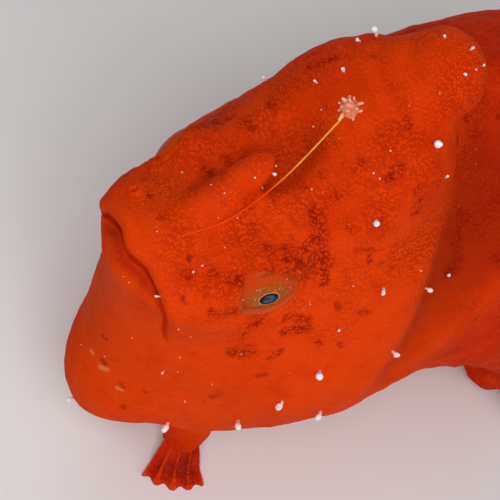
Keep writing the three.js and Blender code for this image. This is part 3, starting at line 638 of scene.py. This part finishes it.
# Fins: plates with raised rays on both faces, closed round their edges.
def plate(front, back):
    """Points and triangles of a closed sheet between two like grids."""
    columns, rows = front.shape[:2]
    half = columns * rows
    index = np.arange(half).reshape(columns, rows)
    a, b, c, d = index[:-1, :-1], index[1:, :-1], index[1:, 1:], index[:-1, 1:]
    top = two_triangles(a, b, c, d)
    rim = np.concatenate([index[:-1, 0], index[-1, :-1], index[:0:-1, -1], index[0, :0:-1]])
    after = np.roll(rim, -1)
    side = two_triangles(after, rim, rim + half, after + half)
    points = np.vstack([front.reshape(-1, 3), back.reshape(-1, 3)])
    faces = np.vstack([top, top[:, ::-1] + half, side])
    corner = points[faces]
    volume = np.einsum("ij,ij->i", corner[:, 0], np.cross(corner[:, 1], corner[:, 2])).sum()
    return points, faces if volume > 0 else faces[:, ::-1]


def thinned(x, edge):
    """A plate's thickness: 1, but rounded off from an edge to 1."""
    return np.sqrt(np.clip(1 - ((x - edge) / (1 - edge)).clip(0, 1) ** 2, 0.04, 1))


def rayed_fin(rays, place, thickness, fine=16, rows=72, notch=0.06, seed=1):
    """A fin whose rays stand out: its points, faces, how much each point is ray and how far out it is."""
    columns = (rays - 1) * fine + 1
    s = np.linspace(0, 1, columns)
    v = np.linspace(0, 1, rows)
    rng = np.random.default_rng(seed)
    to_ray = np.abs(s * (rays - 1) - np.round(s * (rays - 1)))
    ray_length = rng.uniform(-0.015, 0.015, rays)[np.round(s * (rays - 1)).astype(int)]
    end = 1 - notch * smooth(0.1, 0.5, to_ray) ** 0.8 + ray_length * (1 - smooth(0.1, 0.5, to_ray))
    S, V = np.meshgrid(s, v, indexing="ij")
    V = V * end[:, None]
    fork = smooth(0.55, 0.95, V / end[:, None]) * 0.09
    ridge = hump(np.abs(np.broadcast_to(to_ray[:, None], V.shape) - fork), 0, mix(0.17, 0.1, V))
    joints = 1 + 0.10 * np.sin(V * 60 + np.round(S * (rays - 1)) * 1.7) * smooth(0.25, 0.5, V)
    step = 0.004
    middle = place(S, V)
    across = place(S + step, V) - place(S - step, V)
    out = place(S, V + step) - place(S, V - step)
    normal = unit(np.cross(across, out))
    edges = thinned(V / end[:, None], 0.97) * thinned(np.abs(2 * S - 1), 0.985)
    over, under = (normal * (half * edges)[..., None] for half in thickness(ridge * joints, V))
    points, faces = plate(middle + over, middle - under)
    return points, faces, np.tile(ridge.ravel(), 2), np.tile(V.ravel(), 2)


def even_rays(ridge, v):
    half = mix(0.24, mix(0.72, 0.32, v), ridge)
    return half, half


def median_fin(form, way):
    def place(s, v):
        x = mix(form["from"], form["to"], s)
        crest = np.sin(math.pi * mix(form["crest"][0], form["crest"][1], s))
        out = v * (form["height"] * mix(form["low"], 1, crest) + form["sink"])
        lean = np.radians(mix(form["lean"][0], form["lean"][1], s))
        wave = form["wave"] * np.sin(form["ripple"] * s + form["phase"]) * v * v
        flutter = 0.35 * np.sin(s * form["rays"] * 2.1 + 4 * v) * v * v
        z = np.interp(x, table_x, table_z) + way * (np.cos(lean) * out - form["sink"])
        return np.stack([x + np.sin(lean) * out, wave + flutter, z], -1)

    table_x = np.linspace(form["from"] - 1, form["to"] + 1, 60)
    table_z = ridge_z(table_x, way)
    return rayed_fin(form["rays"], place, even_rays)


def tail_fin():
    def place(s, v):
        across = 2 * s - 1
        fan = np.radians(CAUDAL["spread"] * across)
        reach = CAUDAL["reach"] * (1 - CAUDAL["round"] * across * across) * v
        wave = CAUDAL["wave"] * np.sin(CAUDAL["ripple"] * v) * (0.5 + 0.5 * across)
        flutter = 0.3 * np.sin(s * 19 + 3 * v) * v * v
        return np.stack([CAUDAL["root_x"] + np.cos(fan) * reach, wave + flutter,
                         CAUDAL["root_z"] + CAUDAL["half"] * across + np.sin(fan) * reach], -1)

    return rayed_fin(CAUDAL["rays"], place, even_rays, fine=20, rows=96, seed=2)


def hand_fin(form, root, side):
    def place(s, v):
        heading = math.radians(form["heading"])
        turn = heading + np.radians(form["spread"] * (s - 0.5))
        aside = form["palm"] * (2 * s - 1)
        reach = form["length"] * (1 - HAND["round"] * (s - 0.5) ** 2) * v
        lift = form["lift"] * (0.5 + 0.5 * np.cos(math.pi * np.minimum(v / HAND["level"], 1)))
        x = root[0] - math.sin(heading) * aside + np.cos(turn) * reach
        y = root[1] + math.cos(heading) * aside + np.sin(turn) * reach
        return np.stack([x, y * side, lift], -1)

    def thickness(ridge, v):
        over = mix(mix(*HAND["web"], v) * 0.75, mix(*HAND["ray"], v), ridge)
        none = np.zeros_like(over)
        return (none, over) if side > 0 else (over, none)

    return rayed_fin(form["rays"], place, thickness, fine=18, rows=64, notch=0.1, seed=3)


# Eyes, rod, lure and tags.
def ringed_faces(count, sides):
    """Triangles over rings of points, closed by two more points at the first ring and the last."""
    index = np.arange(count * sides).reshape(count, sides)
    after = np.roll(index, -1, 1)
    first = np.column_stack([np.full(sides, count * sides), after[0], index[0]])
    last = np.column_stack([np.full(sides, count * sides + 1), index[-1], after[-1]])
    return np.vstack([two_triangles(index[:-1], after[:-1], after[1:], index[1:]), first, last])


def ball(middle, radius, wide, high, shape=None):
    """Points and triangles of a sphere; shape gives a factor on its radius for each direction."""
    polar = np.linspace(0, math.pi, high + 1)[1:-1]
    turn = np.linspace(0, 2 * math.pi, wide, endpoint=False)
    P, T = np.meshgrid(polar, turn, indexing="ij")
    way = np.stack([np.sin(P) * np.cos(T), np.sin(P) * np.sin(T), np.cos(P)], -1).reshape(-1, 3)
    way = np.vstack([way, [[0, 0, 1], [0, 0, -1]]])
    grown = np.ones(len(way)) if shape is None else shape(way)
    return np.asarray(middle) + way * (radius * grown)[:, None], ringed_faces(high - 1, wide)[:, ::-1]


def tube(path, radii, sides):
    """A closed tube through the points of a path, with its frames carried along."""
    path = np.asarray(path)
    tangent = unit(np.gradient(path, axis=0))
    normal = np.cross(tangent[0], (0.3, 1, 0.2))
    rings = []
    for point, way, radius in zip(path, tangent, radii):
        normal = unit(normal - way * (normal @ way))
        side = np.cross(way, normal)
        turn = np.linspace(0, 2 * math.pi, sides, endpoint=False)
        rings.append(point + radius * (np.cos(turn)[:, None] * normal + np.sin(turn)[:, None] * side))
    tips = [path[0] - tangent[0] * radii[0] / 2, path[-1] + tangent[-1] * radii[-1] / 2]
    return np.vstack([*rings, *tips]), ringed_faces(len(rings), sides)


def merged(shapes):
    points, faces, base = [], [], 0
    for p, f in shapes:
        points.append(p)
        faces.append(f + base)
        base += len(p)
    return np.vstack(points), np.vstack(faces)


def lumpy(rng, amount):
    """A factor near 1 for each direction, for a ball's radius."""
    ways = rng.normal(size=(5, 3)) * 2
    phases = rng.uniform(0, 6.3, 5)
    return lambda way: 1 + amount * np.sin(way @ ways.T + phases).mean(1) * 2


def tag_shape(rng, at, normal, size):
    """A flap afloat in water: a bent stalk, a pale knob and small lobes, and how pale its points are."""
    sway = unit(normal + TAG_SWAY + rng.normal(0, 0.3, 3))
    knee = at + normal * 0.15 * size
    tip = knee + sway * 0.45 * size
    path = catmull([at - normal * 0.3 * size, knee, tip], 6)
    parts = [tube(path, np.linspace(0.15, 0.12, 6) * size, 7)]
    for i in range(rng.integers(1, 5) if size > 0.6 else 1):
        way = unit(sway + rng.normal(0, 0.8, 3) * (i > 0))
        radius = (0.13 if i > 0 else 0.23) * size * rng.uniform(0.85, 1.15)
        points, faces = ball((0, 0, 0), radius, 14, 10, lumpy(rng, 0.18))
        stretch = way * (points @ way)[:, None] * rng.uniform(0.1, 0.5)
        parts.append((points + stretch + tip + way * 0.15 * size * (i > 0), faces))
    points, faces = merged(parts)
    paleness = mix(0.35, 1, smooth(0.25, 0.75, size)) * smooth(0, 0.4, (points - at) @ normal / size)
    return points, faces, paleness


def in_view(at, normal):
    """Whether a point of the skin faces the photograph's camera inside its frame."""
    view = VIEWPOINT - at
    side = CAMERA["focal"] * np.array([view @ RIGHT, view @ UP]) / (view @ BACK)
    return normal @ view > 0 and np.abs(side).max() < PHOTO_PX / 2


def on_silhouette(at, normal):
    """Whether the skin is nearly edge-on to the photograph's camera."""
    return abs(normal @ unit(VIEWPOINT - at)) < 0.2


def build_tags(tree):
    """The photograph's tags, and random ones where it doesn't look."""
    rng = np.random.default_rng(SEED)
    shapes = []
    used = []
    for x, y, size in TAGS:
        at, normal = seen(tree, x, y)
        shapes.append(tag_shape(rng, at, normal, size * (TAG_SCALE if size < 1 else BIG_TAG_SCALE)))
        used.append(at)
    while len(shapes) < len(TAGS) + OTHER_TAGS:
        start = Vector((rng.uniform(-4, 80), 0, rng.uniform(28, 38)))
        way = Vector(rng.normal(size=3) * (0.3, 1, 1)).normalized()
        hit, normal, _, _ = tree.ray_cast(start, way)
        if hit is None or hit.z < 7:
            continue
        at = np.array(hit)
        normal = np.array(normal)
        crowded = length(np.array(used) - at).min() < TAG_GAP
        if crowded or in_view(at, normal) or on_silhouette(at, normal):
            continue
        used.append(at)
        shapes.append(tag_shape(rng, at, normal, rng.choice(OTHER_TAG_SIZES) * TAG_SCALE))
    points, faces = merged([shape[:2] for shape in shapes])
    return points, faces, np.concatenate([shape[2] for shape in shapes])


def build_rod():
    """The strand, thin but for its root, with how far along it each point is."""
    count, sides = 60, 14
    path = catmull(ROD, count)
    t = np.linspace(0, 1, count)
    thick = ROD_RADII["root"] * np.exp(-t / ROD_RADII["fade"])
    points, faces = tube(path, ROD_RADII["thin"] + thick + ROD_RADII["taper"] * (1 - t), sides)
    return points, faces, np.append(np.repeat(t, sides), [0, 1])


def build_lure():
    rng = np.random.default_rng(SEED + 1)
    shapes = [ball(LURE, LURE_CORE, 20, 14, lumpy(rng, 0.2))]
    for i in range(LURE_LOBES):
        rise = mix(-0.7, 0.98, i / (LURE_LOBES - 1))
        ring = math.sqrt(1 - rise * rise)
        way = np.array([math.cos(i * 2.4) * ring, math.sin(i * 2.4) * ring, rise])
        end = LURE + way * rng.uniform(1.0, 1.45)
        path = catmull([LURE + way * 0.5, LURE + way * 0.85, end + rng.normal(0, 0.16, 3)], 8)
        shapes.append(tube(path, np.linspace(0.34, 0.12, 8) * rng.uniform(0.7, 1.1), 8))
    points, faces = merged(shapes)
    return points, faces, smooth(0.7, 1.5, length(points - LURE))


# Materials, all from nodes.
class Nodes:
    """Short ways to add and join the nodes of one material."""

    def __init__(self, name):
        self.material = bpy.data.materials.new(name)
        self.material.use_nodes = True
        self.tree = self.material.node_tree
        self.tree.nodes.clear()
        self.out = self.tree.nodes.new("ShaderNodeOutputMaterial")
        self.shader = self.tree.nodes.new("ShaderNodeBsdfPrincipled")
        self.link(self.shader.outputs[0], self.out.inputs[0])

    def link(self, a, b):
        self.tree.links.new(a, b)

    def node(self, kind, **settings):
        node = self.tree.nodes.new(kind)
        for key, value in settings.items():
            setattr(node, key, value)
        return node

    def feed(self, socket, value):
        if isinstance(value, bpy.types.NodeSocket):
            self.link(value, socket)
        else:
            socket.default_value = value

    def fill(self, node, **values):
        """Sets or links a node's inputs by name, with _ for a space."""
        for key, value in values.items():
            self.feed(node.inputs[key.replace("_", " ")], value)

    def math(self, operation, a, b, clamp=False):
        node = self.node("ShaderNodeMath", operation=operation, use_clamp=clamp)
        self.feed(node.inputs[0], a)
        self.feed(node.inputs[1], b)
        return node.outputs[0]

    def times(self, a, b):
        return self.math("MULTIPLY", a, b)

    def plus(self, a, b):
        """A sum kept between 0 and 1."""
        return self.math("ADD", a, b, True)

    def attribute(self, name):
        return self.node("ShaderNodeAttribute", attribute_name=name).outputs["Fac"]

    def millimetres(self):
        coordinates = self.node("ShaderNodeTexCoord").outputs["Object"]
        scaled = self.node("ShaderNodeVectorMath", operation="SCALE")
        self.fill(scaled, Vector=coordinates, Scale=1000)
        return scaled.outputs[0]

    def noise(self, at, size, detail=3.0, roughness=0.55):
        node = self.node("ShaderNodeTexNoise")
        self.fill(node, Vector=at, Scale=1 / size, Detail=detail, Roughness=roughness)
        return node.outputs["Fac"]

    def cells(self, at, size, randomness=1.0):
        node = self.node("ShaderNodeTexVoronoi")
        self.fill(node, Vector=at, Scale=1 / size, Randomness=randomness)
        return node.outputs["Distance"]

    def warped(self, at, size, amount):
        """Places shifted by a soft noise."""
        noise = self.node("ShaderNodeTexNoise")
        self.fill(noise, Vector=at, Scale=1 / size, Detail=2)
        shift = self.node("ShaderNodeVectorMath", operation="MULTIPLY_ADD")
        for socket, value in zip(shift.inputs, (noise.outputs["Color"], (amount,) * 3, at)):
            self.feed(socket, value)
        return shift.outputs[0]

    def ramp(self, value, low_edge, high_edge, low=0.0, high=1.0):
        node = self.node("ShaderNodeMapRange", interpolation_type="SMOOTHSTEP")
        self.fill(node, Value=value, From_Min=low_edge, From_Max=high_edge, To_Min=low, To_Max=high)
        return node.outputs[0]

    def blend(self, factor, a, b, mode="MIX"):
        node = self.node("ShaderNodeMix", data_type="RGBA", blend_type=mode, clamp_factor=True)
        self.feed(node.inputs["Factor"], factor)
        colours = [socket for socket in node.inputs if socket.type == "RGBA"]
        self.feed(colours[0], a)
        self.feed(colours[1], b)
        return [socket for socket in node.outputs if socket.type == "RGBA"][0]

    def bump(self, heights, strength, distance_mm):
        normal = None
        for height in heights:
            node = self.node("ShaderNodeBump")
            self.fill(node, Strength=strength, Distance=distance_mm * 0.001, Height=height)
            if normal is not None:
                self.link(normal, node.inputs["Normal"])
            normal = node.outputs[0]
        self.link(normal, self.shader.inputs["Normal"])

    def set(self, **values):
        self.fill(self.shader, **values)
        return self.material


ORANGE = (0.76, 0.052, 0.002, 1)
RED = (0.60, 0.024, 0.0015, 1)
DARK_RED = (0.34, 0.009, 0.001, 1)
BROWN_RED = (0.21, 0.005, 0.001, 1)
BROWN = (0.34, 0.07, 0.012, 1)
PALE = (0.80, 0.28, 0.08, 1)
PINK = (0.86, 0.16, 0.09, 1)
# Painted shade for the shoulder crease and the hollow behind the second spine.
FOLD_SHADE_RED = (0.2, 0.006, 0.001, 1)
# The gape's dark red: partly the inner lip's colour, partly painted shade under the upper lip.
GAPE_SHADE_RED = (0.26, 0.004, 0.002, 1)
IRIS = ((0.46, 0.11, 0.012, 1), (0.30, 0.045, 0.006, 1))
IRIS_POINTS = (0.9, 0.5, 0.3, 1)
IRIS_RIM = (0.56, 0.046, 0.004, 1)
GOLD = (0.72, 0.26, 0.07, 1)
# A painted blue reflection in the middle of the pupil.
PUPIL_REFLECTION = ((0.05, 0.10, 0.16, 1), (0.015, 0.03, 0.05, 1))
PUPIL_EDGE = (0.002, 0.003, 0.006, 1)
AMBER = ((0.86, 0.40, 0.035, 1), (0.76, 0.24, 0.02, 1))
LURE_FLESH = ((0.72, 0.12, 0.05, 1), (0.94, 0.52, 0.34, 1))
TAG_FLESH = ((0.85, 0.15, 0.08, 1), (0.95, 0.90, 0.88, 1))
FLOOR_GREY = ((0.82, 0.81, 0.79, 1), (0.86, 0.85, 0.83, 1))
SKY = (0.92, 0.95, 1.0, 1)


def skin_net(n, at):
    """Fine dark lines between tiny pale warts, some run together into wavy strokes, from 0 to 1."""
    pebbles = n.ramp(n.cells(n.warped(at, 2.6, 1.4), 0.38, randomness=0.62), 0.38, 0.6)
    wave = n.node("ShaderNodeTexWave", wave_type="BANDS", bands_direction="DIAGONAL")
    n.fill(wave, Vector=n.warped(at, 4.2, 5.0), Scale=0.62, Distortion=1.2, Detail=2, Detail_Scale=2.5)
    strokes = n.ramp(wave.outputs["Fac"], 0.45, 0.95)
    broken = n.times(strokes, n.ramp(n.noise(at, 0.5, 2), 0.4, 0.56))
    return pebbles, n.math("MAXIMUM", n.times(pebbles, 0.85), broken)


def skin_colour(n, at):
    """The skin's colour and the fine net of its warts."""
    pebbles, net = skin_net(n, at)
    # Deeper red, partly painted shade where the light falls off over the body and under the belly.
    deep = n.plus(n.attribute("deep"), n.ramp(n.noise(at, 9, 4), 0.35, 0.7, -0.2, 0.2))
    colour = n.blend(deep, ORANGE, RED)
    colour = n.blend(n.ramp(n.noise(at, 2.2, 4), 0.48, 0.74, 0, 0.4), colour, RED)
    patches = n.ramp(n.noise(at, 5, 3), 0.36, 0.64, 0.3, 1)
    faint = n.times(n.ramp(n.attribute("grain"), 0, 1, 0.12, 0.55), patches)
    ragged = n.ramp(n.noise(at, 1.1, 4, 0.65), 0.32, 0.68, -0.3, 0.3)
    marks = n.plus(n.attribute("marks"), n.times(ragged, n.ramp(n.attribute("marks"), 0, 0.4)))
    lines = n.times(net, n.math("MAXIMUM", marks, faint))
    # Painted shade in the shoulder crease and the hollow behind the second spine.
    colour = n.blend(n.times(n.attribute("fold"), 0.85), colour, FOLD_SHADE_RED)
    colour = n.blend(n.times(marks, 0.3), colour, DARK_RED)
    colour = n.blend(n.times(lines, 0.92), colour, BROWN_RED)
    colour = n.blend(n.ramp(n.cells(at, 2.3), 0.03, 0.055, 0.75, 0), colour, PINK)
    shade = n.times(n.attribute("eyeshade"), n.ramp(n.noise(at, 1.6, 3), 0.35, 0.65, 0.3, 0.7))
    colour = n.blend(shade, colour, BROWN)
    # Pink of the lower lid, partly a painted highlight along the eye's lower rim.
    colour = n.blend(n.times(n.attribute("lid_and_highlight"), 0.15), colour, PINK)
    colour = n.blend(n.times(n.attribute("pale"), 0.55), colour, PALE)
    # The gape's dark red, partly painted shade under the upper lip.
    colour = n.blend(n.attribute("gape"), colour, GAPE_SHADE_RED)
    return colour, pebbles


def skin_material():
    n = Nodes("velvet_skin")
    at = n.millimetres()
    colour, pebbles = skin_colour(n, at)
    n.bump([n.times(pebbles, -1.0), n.noise(at, 0.7, 4, 0.6)], 0.4, 0.07)
    rough = n.ramp(n.noise(at, 1.3, 3), 0.3, 0.7, 0.55, 0.75)
    return n.set(Base_Color=colour, Roughness=rough, Subsurface_Weight=0.15, Subsurface_Scale=0.001,
                 Subsurface_Radius=(1.0, 0.16, 0.06), IOR=1.08)


def fin_material():
    n = Nodes("fin_skin")
    at = n.millimetres()
    ridge = n.attribute("ridge")
    pebbles, net = skin_net(n, at)
    colour = n.blend(n.ramp(n.noise(at, 3.5, 4), 0.4, 0.68), RED, DARK_RED)
    colour = n.blend(n.times(ridge, 0.75), colour, ORANGE)
    bands = n.ramp(n.noise(n.warped(at, 4, 3), 4.2, 2), 0.5, 0.62)
    colour = n.blend(n.times(n.times(bands, 0.7), net), colour, BROWN_RED)
    colour = n.blend(n.ramp(n.attribute("outward"), 0.86, 1.0, 0, 0.35), colour, ORANGE)
    n.bump([n.times(pebbles, -1.0), n.noise(at, 0.9, 4)], 0.45, 0.06)
    return n.set(Base_Color=colour, Roughness=0.52, Subsurface_Weight=0.2, Subsurface_Scale=0.001,
                 Subsurface_Radius=(1.0, 0.2, 0.1), IOR=1.2)


def eye_material(name, middle, axis):
    """Rings round the axis: black pupil with a painted blue reflection in its middle, thin gold ring, then
    brown that turns to the skin's red.
    """
    n = Nodes(name)
    at = n.millimetres()
    away = n.node("ShaderNodeVectorMath", operation="DISTANCE")
    n.feed(away.inputs[0], at)
    n.feed(away.inputs[1], tuple(to_row(middle + axis * (EYE_OUT + EYE_DEEP)) * 1000))
    reach = away.outputs["Value"]
    fleck = n.noise(at, 0.45, 5, 0.7)
    iris = n.blend(n.ramp(fleck, 0.35, 0.65), *IRIS)
    iris = n.blend(n.ramp(n.cells(at, 0.75), 0.07, 0.14, 0.8, 0), iris, IRIS_POINTS)
    iris = n.blend(n.ramp(reach, 1.7, 2.9), iris, IRIS_RIM)
    gold = n.blend(n.ramp(reach, PUPIL_MM + 0.04, PUPIL_MM + 0.16), GOLD, iris)
    # The pupil's middle holds a painted blue reflection; its edge is black.
    reflection = n.blend(n.ramp(n.noise(at, 0.7, 2), 0.42, 0.6), *PUPIL_REFLECTION)
    pupil = n.blend(n.ramp(reach, PUPIL_MM * 0.45, PUPIL_MM * 0.9), reflection, PUPIL_EDGE)
    colour = n.blend(n.ramp(reach, PUPIL_MM - 0.03, PUPIL_MM + 0.03), pupil, gold)
    n.bump([fleck], 0.1, 0.04)
    return n.set(Base_Color=colour, Roughness=0.4, IOR=1.1, Coat_Weight=0.2, Coat_Roughness=0.06,
                 Coat_IOR=1.15)


def rod_material():
    """Amber strand, redder and duller toward its root."""
    n = Nodes("amber_strand")
    at = n.millimetres()
    amber = n.blend(n.ramp(n.noise(at, 1.1, 3), 0.35, 0.7), *AMBER)
    colour = n.blend(n.ramp(n.attribute("outward"), 0.54, 0.68), ORANGE, amber)
    n.bump([n.noise(at, 0.25, 3)], 0.3, 0.02)
    return n.set(Base_Color=colour, Roughness=0.38, Subsurface_Weight=0.2, Subsurface_Scale=0.0003,
                 Subsurface_Radius=(1.0, 0.5, 0.15), IOR=1.12)


def tag_material(name, base, tip):
    """Soft flesh, from the base's colour to the tip's."""
    n = Nodes(name)
    at = n.millimetres()
    tint = n.plus(n.attribute("outward"), n.ramp(n.noise(at, 0.5, 4), 0.35, 0.65, -0.15, 0.15))
    colour = n.blend(tint, base, tip)
    n.bump([n.cells(at, 0.12), n.noise(at, 0.2, 3)], 0.5, 0.03)
    return n.set(Base_Color=colour, Roughness=0.6, Subsurface_Weight=0.3, Subsurface_Scale=0.0005,
                 Subsurface_Radius=(1.0, 0.6, 0.5), Specular_IOR_Level=0.3)


def floor_material():
    n = Nodes("pale_floor")
    at = n.millimetres()
    colour = n.blend(n.ramp(n.noise(at, 60, 3), 0.3, 0.7), *FLOOR_GREY)
    return n.set(Base_Color=colour, Roughness=0.75)


# The scene, in millimetres, with each lamp's place and size and its power in watts.
FLOOR_HALF = 3000
FLOOR_SINK = 0.02
SKY_STRENGTH = 0.32
LAMP_AIM = (10, 0, 38)
LAMPS = (("key", (-100, -105, 220), 120, 0.33), ("fill", (120, -330, 200), 320, 0.25),
         ("back", (230, 240, 260), 260, 0.28))


def dress(piece, material, slot, *nodes):
    piece.data.materials.append(material)
    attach(piece, "root")
    if nodes:
        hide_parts(*nodes)


def toned_piece(name, shape, material, slot, *nodes):
    """A piece with its points' place along it kept for the material."""
    points, faces, outward = shape
    piece = make_object(name, points, faces)
    paint(piece, "outward", outward)
    dress(piece, material, slot, *nodes)
    return piece


def add_fish():
    points, triangles = build_skin()
    tree = ray_tree(points, triangles)
    skin = make_object("skin", points, triangles)
    tone_skin(skin, points, tree)
    dress(skin, skin_material(), "skin", *FLESH_NODES)
    add_fins()
    eyes = [add_eye(side, word) for side, word in ((-1, "left"), (1, "right"))]
    toned_piece("fishing_rod", build_rod(), rod_material(), "rod", "illicium")
    toned_piece("lure_lobes", build_lure(), tag_material("lure_skin", *LURE_FLESH), "lure", "esca")
    tags = build_tags(ray_tree(*merged([(points, triangles), *eyes])))
    toned_piece("skin_tags", tags, tag_material("pale_tags", *TAG_FLESH), "lure")


def add_fins():
    material = fin_material()
    shapes = {"dorsal_fin": median_fin(DORSAL, 1), "anal_fin": median_fin(ANAL, -1)}
    shapes["caudal_fin"] = tail_fin()
    for side, word in ((-1, "left"), (1, "right")):
        shapes[f"pectoral_fin_{word}"] = hand_fin(PECTORAL, ARM[0][-1], side)
        shapes[f"pelvic_fin_{word}"] = hand_fin(PELVIC, LEG[0][-1], side)
    for name, (points, faces, ridge, outward) in shapes.items():
        piece = toned_piece(f"{name}_skin", (points, faces, outward), material, "fin", name)
        paint(piece, "ridge", ridge)


def add_eye(side, word):
    middle = EYE * (1, side, 1)
    axis = EYE_AXIS * (1, side, 1)
    points, faces = ball((0, 0, 0), EYE_WIDE, 96, 64)
    points = middle + axis * EYE_OUT + points - axis * ((1 - EYE_DEEP / EYE_WIDE) * (points @ axis))[:, None]
    eye = make_object(f"eyeball_{word}", points, faces)
    dress(eye, eye_material(f"eye_{word}_wet", middle, axis), "eye", f"eye_{word}")
    return points, faces


def add_stage():
    corners = FLOOR_HALF * np.array([(-1, -1, 0), (1, -1, 0), (1, 1, 0), (-1, 1, 0)])
    floor = make_object("floor", corners - (0, 0, FLOOR_SINK), [(0, 1, 2, 3)], False)
    floor.data.materials.append(floor_material())
    world = bpy.data.worlds.new("studio")
    world.use_nodes = True
    background = world.node_tree.nodes["Background"]
    background.inputs["Color"].default_value = SKY
    background.inputs["Strength"].default_value = SKY_STRENGTH
    bpy.context.scene.world = world
    aim = Vector(to_row(LAMP_AIM))
    for name, place, size, power in LAMPS:
        data = bpy.data.lights.new(name, "AREA")
        data.size = size * 0.001
        data.energy = power
        lamp = bpy.data.objects.new(name, data)
        lamp.location = to_row(place)
        lamp.rotation_euler = (aim - lamp.location).to_track_quat("-Z", "Y").to_euler()
        bpy.context.scene.collection.objects.link(lamp)


def add_camera():
    data = bpy.data.cameras.new("photo_view")
    data.sensor_width = SENSOR_MM
    data.lens = SENSOR_MM * CAMERA["focal"] / PHOTO_PX
    data.clip_start = 0.005
    camera = bpy.data.objects.new("photo_view", data)
    turn = Matrix([list(RIGHT), list(UP), list(BACK)]).transposed().to_4x4()
    camera.matrix_world = Matrix.Translation(Vector(to_row(VIEWPOINT))) @ turn
    bpy.context.scene.collection.objects.link(camera)
    bpy.context.scene.camera = camera


bpy.context.scene.view_settings.view_transform = "Standard"
add_camera()
add_stage()
add_fish()
